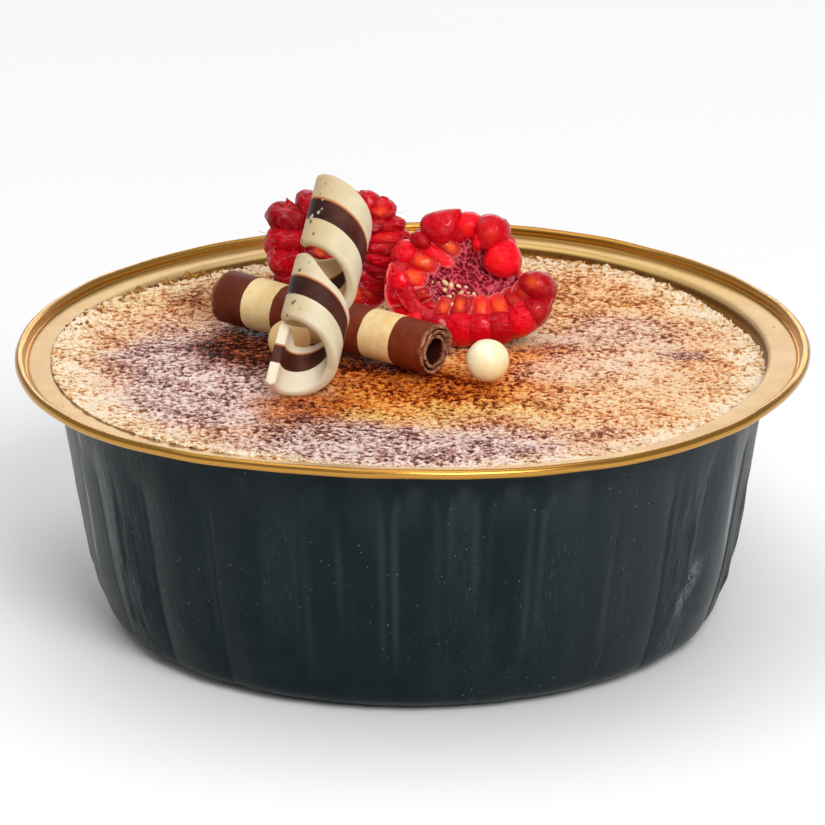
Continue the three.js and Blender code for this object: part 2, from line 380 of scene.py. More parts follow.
# Dark lacquer: satin, streaked upright where the creases run, with specks of dust and with
# painted highlights beside the creases and over the flute tops
lacquer = Finish("dark_foil_lacquer")
x, y, z = lacquer.split(lacquer.place)
ring_place = lacquer.vector(x, y, z * 0.06)
streaks = lacquer.noise(ring_place, 1.9, 3.0, 0.6, 3.0)
bands = lacquer.noise(ring_place, 0.16, 1.0, 0.5, 1.0)
blotches = lacquer.grain(0.35, 3.0, 0.6, 7.0)
low_wall = 1.0 - z.rise(17.0, 26.0)
dust = lacquer.node("ShaderNodeTexVoronoi", None, {"Vector": lacquer.place, "Scale": 1.0})
dust_here = lacquer.grain(0.09, 1.0, 0.5, 9.0).rise(0.46, 0.6)
speck = (1.0 - dust.rise(0.06, 0.1)) * dust_here * dust.also("Color")
scratch = lacquer.noise(ring_place, 5.5, 2.0, 0.7, 21.0).rise(0.56, 0.66) * bands.rise(0.45, 0.6)
flute_highlight_streaks = lacquer.named("painted_flute_highlight") * lacquer.noise(ring_place, 0.22, 1.0, 0.5, 17.0).rise(0.4, 0.65)
# Painted sheen: pale upright streaks near the far left and right edges of the wall
side_sheen = x.of("ABSOLUTE").rise(33.0, 41.0) * z.rise(3.0, 12.0)
out = (x * x + y * y).of("SQRT")
down_wall = lacquer.vector(x * 42.0 / out, y * 42.0 / out, z * 0.03)
side_lines = lacquer.noise(down_wall, 2.0, 2.0, 0.55, 27.0)
dent_grain = lacquer.grain(2.2, 3.0, 0.6, 29.0)
dented = lacquer.named("dented")
tone = lacquer.coats(
    lacquer.mix(blotches.rise(0.3, 0.75), "0a181b", "101e22"),
    (bands.rise(0.42, 0.66) * 0.6, "1e272a"),
    # Painted highlight beside the creases and over the flute tops, stronger on the right
    (flute_highlight_streaks * (0.2 + x.rise(-24.0, -8.0) * 0.2), "3c4346"),
    # Painted light: the wall is lighter towards the right
    (x.rise(12.0, 28.0) * 0.45, "30363a"),
    (side_sheen * side_lines.rise(0.5, 0.68) * 0.24, "70777b"),
    # Painted highlight over the dent, and painted shade in its wrinkles
    (dented.rise(0.05, 0.7) * (0.3 + dent_grain.rise(0.4, 0.6) * 0.4), "80868a"),
    (dented.rise(0.55, 0.9) * (1.0 - dent_grain.rise(0.36, 0.5)), "0c1012"),
    # Painted highlight streaks down two flutes near the sides
    (lacquer.named("gleam") * side_lines.rise(0.38, 0.58) * 0.8, "a4a8aa"),
    (scratch * z.rise(3.0, 9.0) * (1.0 - z.rise(19.0, 29.0)) * 0.5, "3a4149"),
    (speck * 0.6, "b4b8ba"),
)
fine = lacquer.noise(ring_place, 4.2, 2.0, 0.6, 33.0)
bundles = lacquer.noise(ring_place, 0.11, 0.0, 0.5, 4.0).rise(0.42, 0.58)
streak_height = (streaks + fine * 0.35) * (0.15 + low_wall * bundles)
streak_height = streak_height + blotches * 0.25 + dented * dent_grain * 2.0
dark_lacquer = lacquer.surface(
    Base_Color=tone,
    Metallic=0.0,
    Roughness=0.24 + streaks * 0.16,
    Specular_IOR_Level=0.1,
    Normal=lacquer.bump(streak_height, 0.7, 0.4),
)

# Gold lacquer: bright metal seen through amber varnish, with a fine grain
gold = Finish("gold_foil_lacquer")
x, y, z = gold.split(gold.place)
bearing = y.of("ARCTAN2", x)
grain = gold.noise(gold.vector(bearing * 60.0, z, 0.0), 3.0, 2.0, 0.6, 2.0)
cloud = gold.grain(0.3, 2.0, 0.5, 4.0)
pits = gold.node("ShaderNodeTexVoronoi", None, {"Vector": gold.place, "Scale": 0.32})
pit = (1.0 - pits.rise(0.05, 0.07)) * gold.grain(0.1, 0.0, 0.5, 6.0).rise(0.46, 0.56)
out = (x * x + y * y).of("SQRT")
on_bead = out.rise(45.6, 46.1)
stains = gold.grain(0.9, 3.0, 0.65, 11.0)
brushed = gold.noise(gold.vector(bearing * 60.0, z * 0.3, 0.0), 1.2, 2.0, 0.6, 8.0)
wall_gold = gold.coats(
    "f0b45c",
    (brushed.rise(0.4, 0.6) * 0.5, "b07a38"),
    (stains.rise(0.5, 0.68) * 0.7, "8a5a2c"),
    # Painted shade: the inner wall is darker towards the right
    (x.rise(24.0, 38.0) * 0.85, "76501f"),
)
far_side = y.rise(8.0, 30.0) * (0.5 + x.rise(-25.0, 5.0) * 0.4) * (1.0 - on_bead)
varnish = gold.coats(
    "e2c292",
    (cloud.rise(0.3, 0.7), "dab686"),
    (on_bead, "c28e42"),
    (far_side, "deb870"),
    (1.0 - out.rise(42.35, 42.5), wall_gold),
    # Painted shadow: a thin dark line just inside the flange's inner edge
    (out.rise(42.2, 42.32) * (1.0 - out.rise(42.42, 42.5)) * 0.7, "4a2c0c"),
    (pit, "1e1208"),
)
gold_lacquer = gold.surface(
    Base_Color=varnish,
    Metallic=1.0,
    Roughness=0.46 - on_bead * 0.2,
    Normal=gold.bump(grain * 0.6 + cloud, 0.15, 0.1),
)

cup = make_piece(
    "foil_cup_pressed", cup_points, cup_faces, [dark_lacquer, gold_lacquer], gold_face,
    {
        "outside": outside, "painted_flute_highlight": (painted_flute_highlight * on_wall).ravel() * outside,
        "dented": (dent * on_wall).ravel() * outside, "gleam": (gleam * on_wall).ravel() * outside,
    },
)


class Recipe(Sheet):
    """A Geometry Nodes tree with named inputs, used once on a piece and then applied."""

    def __init__(self, name, sizes):
        super().__init__(bpy.data.node_groups.new(name, "GeometryNodeTree"))
        board = self.tree.interface
        board.new_socket("Geometry", in_out="INPUT", socket_type="NodeSocketGeometry")
        self.sizes = sizes
        for label, value in sizes.items():
            kind = "NodeSocketInt" if isinstance(value, int) else "NodeSocketFloat"
            board.new_socket(label, in_out="INPUT", socket_type=kind)
        board.new_socket("Geometry", in_out="OUTPUT", socket_type="NodeSocketGeometry")
        self.start = self.node("NodeGroupInput")

    def size(self, label):
        return self.start.also(label)

    def field(self, attribute):
        return self.node(
            "GeometryNodeInputNamedAttribute", {"data_type": "FLOAT"}, {"Name": attribute}
        )

    def keep(self, geometry, attribute, value):
        return self.node(
            "GeometryNodeStoreNamedAttribute",
            {"data_type": "FLOAT", "domain": "POINT"},
            {"Geometry": geometry, "Name": attribute, "Value": value},
        )

    def move(self, geometry, place=None, offset=None):
        return self.node(
            "GeometryNodeSetPosition", None,
            {"Geometry": geometry, "Position": place, "Offset": offset},
        )

    def scale(self, vector, factor):
        return self.node(
            "ShaderNodeVectorMath", {"operation": "SCALE"}, {0: vector, "Scale": factor}
        )

    def position(self):
        """Where each point is, in millimetres."""
        return self.scale(self.node("GeometryNodeInputPosition"), 1000.0)

    def finish_with(self, geometry, finish):
        """Realizes instances, sets the material and joins the output."""
        made = self.node("GeometryNodeRealizeInstances", None, {0: geometry})
        if finish:
            made = self.node(
                "GeometryNodeSetMaterial", None, {"Geometry": made, "Material": finish}
            )
            made = self.node("GeometryNodeSetShadeSmooth", None, {"Geometry": made})
        self.node("NodeGroupOutput", None, {0: made})

    def apply(self, piece):
        """Runs the tree on a piece, which keeps the plain mesh that comes out."""
        modifier = piece.modifiers.new(self.tree.name, "NODES")
        modifier.node_group = self.tree
        for item in self.tree.interface.items_tree:
            if item.in_out == "INPUT" and item.name in self.sizes:
                modifier[item.identifier] = self.sizes[item.name]
        view = bpy.context.evaluated_depsgraph_get()
        mesh = bpy.data.meshes.new_from_object(piece.evaluated_get(view))
        piece.modifiers.clear()
        old = piece.data
        piece.data = mesh
        bpy.data.meshes.remove(old)
        mesh.name = piece.name
        return piece


# The die leaves bundles of fine upright creases low on the wall
creasing = Recipe("fine_wall_creases", {
    "Crease depth": 0.26 * MM, "Creases per mm": 0.75, "Bundle size": 0.11, "Seed": 4.0,
})
x, y, z = creasing.split(creasing.position())
ring_place = creasing.vector(x, y, z * 0.05)
lines = creasing.noise(ring_place, creasing.size("Creases per mm"), 1.0, 0.5, creasing.size("Seed"))
bundle = creasing.noise(
    ring_place, creasing.size("Bundle size"), 0.0, 0.5, creasing.size("Seed")
).rise(0.45, 0.6)
low_wall = z.rise(2.5, 7.0) * (1.0 - z.rise(17.0, 27.0)) * creasing.field("outside")
push = (lines - 0.5) * bundle * low_wall * creasing.size("Crease depth") * 4.0
creased = creasing.move(
    creasing.start, None, creasing.scale(creasing.node("GeometryNodeInputNormal"), push)
)
# The cup keeps its two finishes
creasing.finish_with(creased, None)
creasing.apply(cup)
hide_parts("foil_cup")
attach(cup, "root")

# ---------------------------------------------------------------------------------------
# Custard. Baked egg custard filling the cup; its top is strewn with sugar and torched, so
# that it is pale and crumbly at the edge, freckled tan on the right, glossy caramel in
# the middle and scorched, with a mauve bloom, on the left and at the front. The dark
# patches under the chocolate roll are partly painted shade.

CUSTARD_LEVEL = 31.3
# The top undulates: the length of each wave, its heading and its height
TOP_WAVES = [(170, -2.8, 0.45), (34, 2.1, 0.12), (23, 4.4, 0.08)]
CRUST_EDGE = 42.28
CRUST_GRID = 296
# On this side, in degrees round the cup, the custard was poured up to the rim
FULL_SIDE = 203
FULL_SPREAD = 0.95
# At the back on the right it has swollen: degrees round the cup, spread in degrees, height
SWELL_SIDE = 57
SWELL_SPREAD = 22
SWELL_HEIGHT = 1.15


def crust_level(x, y):
    """Height of the custard's top."""
    total = CUSTARD_LEVEL
    for wave, heading, size in TOP_WAVES:
        along = x * math.cos(heading) + y * math.sin(heading)
        total = total + size * np.sin(2 * np.pi * along / wave)
    return total


# The top is a square net drawn out into a disc, so that its meshes are even all over
net = np.linspace(-1, 1, CRUST_GRID)
a, b = np.meshgrid(net, net, indexing="ij")
reach = np.maximum(np.abs(a), np.abs(b))
wide = np.abs(a) >= np.abs(b)
turn = np.where(
    wide,
    np.pi / 4 * b / np.where(wide, np.where(a == 0, 1, a), 1) + np.where(a < 0, np.pi, 0),
    np.pi / 2 - np.pi / 4 * a / np.where(wide, 1, np.where(b == 0, 1, b)) + np.where(b < 0, np.pi, 0),
)
brimful = smooth_step(0.3, 0.85, np.cos(turn - math.radians(FULL_SIDE)))
edge_radius = CRUST_EDGE + FULL_SPREAD * brimful
top_x = (edge_radius * reach * np.cos(turn)).ravel()
top_y = (edge_radius * reach * np.sin(turn)).ravel()
top_z = crust_level(top_x, top_y)
off_swell = degrees_off(np.degrees(turn), SWELL_SIDE)
swell = SWELL_HEIGHT * np.exp(-(off_swell / SWELL_SPREAD) ** 2)
top_z += (swell * smooth_step(0.6, 0.97, reach)).ravel()
full = (brimful * smooth_step(0.88, 0.985, reach)).ravel()
top_z += full * (FLANGE_Z + 0.12 + wave_height(turn).ravel() - top_z)
number = np.arange(CRUST_GRID * CRUST_GRID).reshape(CRUST_GRID, CRUST_GRID)
crust_faces = np.column_stack([
    number[:-1, :-1].ravel(), number[1:, :-1].ravel(), number[1:, 1:].ravel(), number[:-1, 1:].ravel(),
]).tolist()
border = np.concatenate([number[:, 0], number[-1, 1:], number[-2::-1, -1], number[0, -2:0:-1]])
border_turn = np.arctan2(top_y[border], top_x[border])
side = wall_inside[(wall_inside[:, 1] > 0.8) & (wall_inside[:, 1] < 30.6)][::-5] - np.array([0.95, 0])
around = len(border)
rings = [border]
side_points = []
for r, z in side:
    rings.append(len(top_x) + len(side_points) * around + np.arange(around))
    lift = wave_height(border_turn) * (z / FLANGE_Z) ** 2
    side_points.append(np.column_stack([r * np.cos(border_turn), r * np.sin(border_turn), z + lift]))
for upper, lower in zip(rings, rings[1:]):
    crust_faces += np.column_stack([
        upper, lower, np.roll(lower, -1), np.roll(upper, -1),
    ]).tolist()
crust_faces.append(rings[-1][::-1].tolist())
crust_points = np.vstack([np.column_stack([top_x, top_y, top_z])] + side_points)
on_top = np.zeros(len(crust_points))
on_top[:len(top_x)] = 1


def crust_fields(sheet, x, y):
    """The pattern that the relief and the colour of the crust share: sugar grains about a
    millimetre across, gathered into clusters, and slow drifts that fray each patch."""
    flat = sheet.vector(x, y, 0.0)
    coarse = sheet.noise(flat, 1.4, 2.0, 0.55, 5.0)
    small = sheet.noise(flat, 3.1, 1.0, 0.5, 15.0)
    cluster = sheet.noise(flat, 0.3, 2.0, 0.6, 25.0)
    drift = sheet.noise(flat, 0.13, 4.0, 0.65, 1.0)
    wander = sheet.noise(flat, 0.13, 4.0, 0.65, 12.0)
    return coarse * 0.68 + small * 0.32, cluster, drift, wander


crust = Finish("torched_sugar_crust")
x, y, z = crust.split(crust.place)
flat = crust.vector(x, y, 0.0)
grain, cluster, drift, wander = crust_fields(crust, x, y)
far = (x * x + y * y).of("SQRT")


def patch(cx, cy, rx, ry, turn=0.0, soft=0.45, fray=18.0):
    """1 inside a frayed oval on the crust, fading to 0 outside it."""
    dx = x + (drift - 0.5) * fray - cx
    dy = y + (wander - 0.5) * fray - cy
    c, s = math.cos(math.radians(turn)), math.sin(math.radians(turn))
    across = (dx * c + dy * s) / rx
    along = (dy * c - dx * s) / ry
    reach = (across * across + along * along).of("SQRT")
    return 1.0 - reach.rise(1.0 - soft, 1.0 + soft)


def together(first, *others):
    """Several patches as one, the strongest of them at each place."""
    for other in others:
        first = first.of("MAXIMUM", other)
    return first


mauve = together(
    patch(-25, -7, 12, 21), patch(-2, -33, 22, 8), patch(24, 11, 10, 6) * 0.5, patch(22, -28, 12, 5) * 0.4,
)
caramel = together(patch(3, -10, 17, 10, 12), patch(12.5, 1.5, 7, 7, 0, 0.45, 8.0))
deep = together(patch(-3, -5, 13, 6, -28), patch(-12, -18.5, 7, 6, 0, 0.45, 10.0))
# Scorched patches; the two under the chocolate roll are also painted shade
scorch_and_shade = together(
    patch(-18.5, 4.5, 8, 10, 20, 0.35, 8.0), patch(-23, 25, 8, 7) * 0.5,
    patch(-7, 1, 8, 4, -35, 0.4, 8.0) * 0.8,
)
island = patch(32.5, 4, 3.4, 2.0, 0, 0.35, 5.0)
pale = together(patch(29, -14, 15, 12), patch(8, -22, 9, 3) * 0.8)
back_tan = patch(20, 29, 12, 8)
blush = patch(22, -1, 10, 7)
honey = together(patch(-5, -20, 4, 3, 0, 0.4, 6.0), patch(6, -18.5, 8, 4))
bruise = together(patch(-32, -1, 5, 5, 0, 0.45, 8.0) * 0.25, patch(-11, -26, 8, 5, 0, 0.45, 8.0))
edge = (far + (drift - 0.5) * 12.0).rise(36.0, 41.5)
yellow_edge = patch(-30, 20, 10, 8)

# Colours of the pale grains, of the sugar between them and of the pits, zone by zone
raised = crust.coats(
    "f8cc98",
    (mauve * 0.85, "f2e0dc"), (caramel * 0.9, "ffae3a"), (deep * 0.85, "dc7818"),
    (blush * 0.6, "fce6d0"), (honey * 0.7, "fcd888"), (scorch_and_shade * 0.92, "b85a26"),
    (island * 0.5, "d0a8a0"), (pale * 0.6, "f8dcb2"), (back_tan * 0.6, "f8c88a"),
    (bruise * 0.2, "d8c0bc"), (edge * 0.85, "fff0d6"), (yellow_edge * edge * 0.6, "f4d898"),
)
between = crust.coats(
    "e09450",
    (mauve * 0.85, "c49694"), (caramel * 0.9, "d85c04"), (deep * 0.85, "a43e02"),
    (blush * 0.6, "e8b090"), (honey * 0.7, "e09a44"), (scorch_and_shade * 0.96, "6a200a"),
    (island * 0.8, "965858"), (pale * 0.6, "eca468"), (back_tan * 0.6, "cc7834"),
    (bruise * 0.45, "8e666a"), (edge * 0.8, "e8bc80"),
)
sunk = crust.coats(
    "8a3a14",
    (mauve * 0.9, "50282c"), (caramel * 0.9, "561400"), (deep * 0.85, "3c0a00"),
    (scorch_and_shade * 0.96, "260602"), (island * 0.8, "502838"), (pale * 0.5, "944818"),
    (bruise * 0.55, "32161a"), (edge * 0.8, "a86830"),
)
# The browner a zone is, the more of it lies below the pale grains
browner = mauve * 0.8 + caramel + scorch_and_shade * 2.6 + bruise * 0.4 + island * 1.6 + back_tan * 0.5
depth = grain - 0.008 + (cluster - 0.5) * 0.36 + (browner - blush * 0.7 - pale - edge * 1.6) * 0.016
tone = crust.mix(depth.rise(0.43, 0.52), raised, between)
tone = crust.mix(depth.rise(0.52, 0.59), tone, sunk)
# Painted glints: small pale specks on the raised grains
sparkle = crust.noise(flat, 4.0, 1.0, 0.5, 31.0).rise(0.59, 0.66) * (1.0 - depth.rise(0.46, 0.54))
tone = crust.mix(sparkle * (0.8 - scorch_and_shade * 0.75 - caramel * 0.5), tone, "fff6e6")
glaze = (caramel * 0.7 + mauve * 0.7 + scorch_and_shade).of("MINIMUM", 1.0)
sugar_crust = crust.surface(
    Base_Color=tone,
    Roughness=0.5 - glaze * 0.2,
    Specular_IOR_Level=0.08,
    Specular_Tint=(1.0, 0.6, 0.42, 1.0),
    Normal=crust.bump(grain * 0.6 + crust.noise(flat, 3.0, 2.0, 0.6, 44.0), 0.9, 0.4),
    **translucent(0.06, (1.0, 0.5, 0.25), 0.4),
)

custard = make_piece("custard_crust", crust_points, crust_faces, [sugar_crust], None, {"top": on_top})

# The sugar melts unevenly, so the top is lumpy, and it climbs the foil in a ragged fringe
bubbling = Recipe("uneven_sugar", {
    "Lump height": 0.8 * MM, "Grain height": 0.95 * MM, "Fringe height": 1.1 * MM, "Seed": 2.0,
})
x, y, z = bubbling.split(bubbling.position())
grain, cluster, drift, wander = crust_fields(bubbling, x, y)
flat = bubbling.vector(x, y, 0.0)
far = (x * x + y * y).of("SQRT")
fringe = bubbling.noise(flat, 0.6, 3.0, 0.75, bubbling.size("Seed")) - 0.45
near_wall = far.rise(39.5, 42.3)
rise = (
    (cluster - 0.5) * bubbling.size("Lump height") * (1.0 - near_wall)
    + (0.5 - grain) * bubbling.size("Grain height")
    + fringe * near_wall * bubbling.size("Fringe height")
) * bubbling.field("top")
lumpy = bubbling.move(bubbling.start, None, bubbling.vector(0.0, 0.0, rise))
bubbling.finish_with(lumpy, sugar_crust)
bubbling.apply(custard)
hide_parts("custard")
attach(custard, "root")

# ---------------------------------------------------------------------------------------
# Loose sugar. Grains that did not melt lie on the crust, thickest where it is pale at
# the edge. Flat flakes fray the edge on the right, burnt flakes cling to the foil at the
# back on the left, and syrup has seeped out there.

ANY_WAY = 2 * math.pi


def scattered(
    name, host, sizes, chosen, single, finish, stretch=(1.0, 1.0, 1.0), lean=ANY_WAY, apart=None
):
    """Copies of one small shape over a piece, where the attribute `chosen` allows them,
    and, if `apart` is given, at least that many metres from each other."""
    recipe = Recipe(name, sizes)
    shape = single(recipe)
    density = recipe.size("Per square metre")
    spread = recipe.node("GeometryNodeDistributePointsOnFaces", {
        "distribute_method": "POISSON" if apart else "RANDOM",
    }, {
        "Mesh": recipe.start, "Seed": recipe.size("Seed"), "Distance Min": apart,
        "Density": None if apart else density * recipe.field(chosen),
        "Density Max": density if apart else None,
        "Density Factor": recipe.field(chosen) if apart else None,
    })
    spin = recipe.node("FunctionNodeRandomValue", {"data_type": "FLOAT_VECTOR"}, {
        "Min": (-lean, -lean, 0.0), "Max": (lean, lean, ANY_WAY), "Seed": recipe.size("Seed"),
    })
    turned = recipe.node("FunctionNodeRotateRotation", {"rotation_space": "LOCAL"}, {
        "Rotation": spread.also("Rotation"), "Rotate By": spin,
    })
    grow = recipe.node("FunctionNodeRandomValue", {"data_type": "FLOAT"}, {
        2: 0.5, 3: 1.4, "Seed": recipe.size("Seed") + 1,
    }, 1)
    placed = recipe.node("GeometryNodeInstanceOnPoints", None, {
        "Points": spread, "Instance": shape, "Rotation": turned,
        "Scale": recipe.scale(recipe.vector(*stretch), grow),
    })
    recipe.finish_with(placed, finish)
    bits = bpy.data.objects.new(name, host.data.copy())
    bpy.context.collection.objects.link(bits)
    return recipe.apply(bits)


def lump(recipe):
    """A small rough grain."""
    grain = recipe.node("GeometryNodeMeshIcoSphere", None, {
        "Radius": recipe.size("Size"), "Subdivisions": 1,
    })
    place = recipe.node("GeometryNodeInputPosition")
    uneven = recipe.noise(place, 900.0, 1.0, 0.5, 3.0) * 0.9 + 0.55
    return recipe.move(grain, recipe.scale(place, uneven))


crust_xyz = np.array([v.co for v in custard.data.vertices]) / MM
crust_far = np.hypot(crust_xyz[:, 0], crust_xyz[:, 1])
crust_bearing = np.degrees(np.arctan2(crust_xyz[:, 1], crust_xyz[:, 0])) % 360
shown = crust_xyz[:, 2] > 30
back_left = smooth_step(95, 110, crust_bearing) * (1 - smooth_step(160, 175, crust_bearing))
right_side = smooth_step(-0.1, 0.4, np.cos(np.radians(crust_bearing - 30)))
for label, amount in (
    ("loose", shown * (0.12 + 0.88 * smooth_step(37.5, 41.0, crust_far))),
    ("burnt", shown * back_left * smooth_step(40.8, 41.8, crust_far)),
    ("frayed", shown * right_side * smooth_step(41.0, 41.8, crust_far)),
):
    layer = custard.data.attributes.new(label, "FLOAT", "POINT")
    layer.data.foreach_set("value", amount.astype(np.float32))

burnt_finish = Finish("burnt_sugar")
char = burnt_finish.grain(1.2, 2.0, 0.5, 1.0)
burnt_sugar = burnt_finish.surface(
    Base_Color=burnt_finish.mix(char.rise(0.35, 0.65), "5a2c10", "a06a34"),
    Roughness=0.45,
    Specular_IOR_Level=0.0,
    Normal=burnt_finish.bump(char, 0.5, 0.2),
)
for name, number, size, seed, chosen, finish, stretch, lean in (
    ("loose_sugar_grains", 2.9e6, 0.145, 3, "loose", sugar_crust, (1.0, 0.8, 0.4), ANY_WAY),
    ("frayed_edge_flakes", 2.0e6, 0.3, 12, "frayed", sugar_crust, (1.3, 0.9, 0.35), 0.4),
    ("burnt_sugar_flakes", 1.0e6, 0.27, 8, "burnt", burnt_sugar, (1.0, 0.7, 0.4), ANY_WAY),
):
    bits = scattered(name, custard, {
        "Per square metre": number, "Size": size * MM, "Seed": seed,
    }, chosen, lump, finish, stretch, lean)
    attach(bits, "root")

# Amber syrup that seeped out of the custard stands against the foil, with bubbles in it
SYRUP_FROM = 122
SYRUP_TO = 156
SYRUP_STEPS = 200
syrup_finish = Finish("amber_syrup")
thickness = syrup_finish.grain(0.9, 2.0, 0.5, 1.0)
syrup_coat = syrup_finish.surface(
    Base_Color=syrup_finish.mix(thickness.rise(0.35, 0.65), "c08418", "5e3206"),
    Roughness=0.08,
    Transmission_Weight=0.25,
    IOR=1.4,
    Normal=syrup_finish.bump(thickness, 0.4, 0.3),
)
syrup_turn = np.radians(np.linspace(SYRUP_FROM, SYRUP_TO, SYRUP_STEPS))
pool = np.sin(np.pi * np.linspace(0, 1, SYRUP_STEPS)) ** 0.5
lap = 0.5 + 0.5 * np.sin(syrup_turn * 97) * np.sin(syrup_turn * 41 + 1)
syrup_rows = []
for inward, up in (
    (0.1, -1.2), (1.2, -0.7), (1.5, 0.1), (1.1, 0.6), (0.35, 0.95), (-0.3, 0.8), (-0.3, -1.2),
):
    r = 42.35 - inward * pool * (0.7 + 0.3 * lap)
    z = 31.55 + up * pool * (0.6 + 0.5 * lap) + wave_height(syrup_turn)
    syrup_rows.append(np.column_stack([r * np.cos(syrup_turn), r * np.sin(syrup_turn), z]))
syrup_points = np.vstack(syrup_rows)
syrup_faces = []
for row in range(len(syrup_rows)):
    low, high = row * SYRUP_STEPS, (row + 1) % len(syrup_rows) * SYRUP_STEPS
    syrup_faces += [(low + k, high + k, high + k + 1, low + k + 1) for k in range(SYRUP_STEPS - 1)]
row_starts = [row * SYRUP_STEPS for row in range(len(syrup_rows))]
syrup_faces.append(tuple(row_starts))
syrup_faces.append(tuple(start + SYRUP_STEPS - 1 for start in reversed(row_starts)))
syrup = make_piece("amber_syrup_bead", syrup_points, syrup_faces, [syrup_coat], None, {
    "open": np.repeat([0.2, 1, 1, 1, 0.6, 0, 0], SYRUP_STEPS),
})


def bubble(recipe, fineness=3):
    """A round bubble, or any small ball."""
    return recipe.node("GeometryNodeMeshIcoSphere", None, {
        "Radius": recipe.size("Size"), "Subdivisions": fineness,
    })


bubbles = scattered("amber_syrup_bubbles", syrup, {
    "Per square metre": 1.5e6, "Size": 0.32 * MM, "Seed": 6,
}, "open", bubble, syrup_coat)
for piece in (syrup, bubbles):
    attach(piece, "root")

# ---------------------------------------------------------------------------------------
# Chocolate roll. A thin striped sheet of chocolate rolled into a tight tube; its broken
# ends are ragged and paler than the rubbed outside.

ROLL_RADIUS = 3.28
ROLL_LENGTH = 32.3
ROLL_SHEET = 0.38
ROLL_TURNS = 2.45
ROLL_PITCH = 0.62
ROLL_MIDDLE = Vector((-9.8, 3.6, 35.0))
ROLL_HEADING = math.atan2(-19.6, 25.5)
# The left end is a little thicker and lies a little higher
ROLL_FLARE = 0.25
ROLL_LIFT = 0.012

milk = Finish("striped_milk_chocolate")
along = milk.named("along")
wobble = milk.grain(0.25, 2.0, 0.5, 1.0)
run = along * ROLL_LENGTH + (wobble - 0.5) * 0.9
phase = ((run - 4.4) / 9.1).of("FRACT")
pale_band = phase.rise(0.0, 0.012) * (1.0 - phase.rise(0.5, 0.512)) * run.rise(4.3, 4.5)
pale_band = pale_band * (1.0 - run.rise(29.0, 29.1))
dusting = milk.grain(2.2, 4.0, 0.7, 3.0)
smudge = milk.grain(0.5, 3.0, 0.6, 8.0)
brown = milk.coats(
    milk.mix(smudge.rise(0.3, 0.7), "6c2810", "803418"),
    ((1.0 - run.rise(3.0, 6.0)) * 0.6, "48180c"),
    (dusting.rise(0.6, 0.75) * 0.3, "9a6048"),
)
# A thumbed brown spot on the first pale band
spot = milk.node("ShaderNodeVectorMath", {"operation": "DISTANCE"}, {
    0: milk.place, 1: (-19.2, 8.6, 37.0),
}, "Value")
tone = milk.coats(
    brown,
    (pale_band, milk.mix(smudge.rise(0.35, 0.75), "fae0a8", "f0c884")),
    ((1.0 - spot.rise(0.45, 0.7)) * 0.8, "8a4a1c"),
    (milk.named("broken") * 0.8, milk.mix(dusting.rise(0.4, 0.6), "5a2c1c", "c08c6c")),
    # Painted shade on the inner turns of the roll
    (milk.named("painted_inner_shade") * 0.85, "1c0806"),
)
roll_chocolate = milk.surface(
    Base_Color=tone,
    Specular_IOR_Level=0.2,
    Roughness=0.42 + dusting * 0.2,
    Normal=milk.bump(dusting + smudge, 0.35, 0.12),
    **translucent(0.1, (1.0, 0.6, 0.4), 0.5),
)

rolling = Recipe("rolled_sheet", {
    "Radius": ROLL_RADIUS, "Length": ROLL_LENGTH, "Sheet": ROLL_SHEET, "Turns": ROLL_TURNS,
    "Layer pitch": ROLL_PITCH, "Raggedness": 1.6, "Flare": ROLL_FLARE, "Seed": 3.0,
})
sheet = rolling.node("GeometryNodeMeshCube", None, {
    "Size": (1.0, 1.0, 1.0), "Vertices X": 170, "Vertices Y": 118, "Vertices Z": 4,
})
u, v, w = rolling.split(rolling.node("GeometryNodeInputPosition"))
turns = (u + 0.5) * rolling.size("Turns")
marked = rolling.keep(sheet, "along", v + 0.5)
marked = rolling.keep(marked, "broken", v.of("ABSOLUTE").rise(0.488, 0.498))
# Painted shade: the inner turns, inside the tube's hollow, are painted near black
inner_shade_mask = (turns.rise(1.2, 1.6) * (0.5 - w)).of("MINIMUM", 1.0)
inner_shade_mask = inner_shade_mask * (1.0 - v.of("ABSOLUTE").rise(0.485, 0.498))
marked = rolling.keep(marked, "painted_inner_shade", inner_shade_mask)
angle = turns * (2 * math.pi) + 1.1
hollow = rolling.noise(rolling.vector(turns * 1.3, v * 3.0, 0.0), 1.0, 1.0, 0.5, rolling.size("Seed")) - 0.5
reach = (
    rolling.size("Radius") - rolling.size("Layer pitch") * turns - rolling.size("Sheet") * 0.5
    + w * rolling.size("Sheet") + hollow * 0.16 * turns - (1.0 - turns.rise(0.0, 0.12)) * 0.14
    + rolling.size("Flare") * (0.5 - v)
)
ragged = rolling.noise(rolling.vector(turns * 6.0, w * 0.6, v), 1.0, 3.0, 0.7, rolling.size("Seed")) - 0.5
end_push = ragged * rolling.size("Raggedness") * (v * 2.0) * v.of("ABSOLUTE").rise(0.44, 0.5)
rolled = rolling.move(marked, rolling.scale(
    rolling.vector(
        reach * angle.of("COSINE"),
        reach * angle.of("SINE"),
        v * (rolling.size("Length") - 0.6) + end_push,
    ), MM,
))
rolling.finish_with(rolled, roll_chocolate)
roll = rolling.apply(make_piece("chocolate_roll_striped", [(0, 0, 0)], [], [roll_chocolate]))
lay = Matrix.Translation(ROLL_MIDDLE * MM) @ Matrix.Rotation(ROLL_HEADING, 4, "Z") @ Matrix.Rotation(
    math.pi / 2 + ROLL_LIFT, 4, "Y"
)
roll.data.transform(lay)
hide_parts("chocolate_roll")
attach(roll, "root")

# ---------------------------------------------------------------------------------------
# Chocolate curl. A ribbon of white chocolate with a dark stripe right through it, wound
# two turns round a rod while soft; it stands on the lower edge and leans back.

CURL_FOOT = Vector((-12.7, -13.6, 36.13))
CURL_AXIS = Vector((0.22, 0.656, 0.72)).normalized()

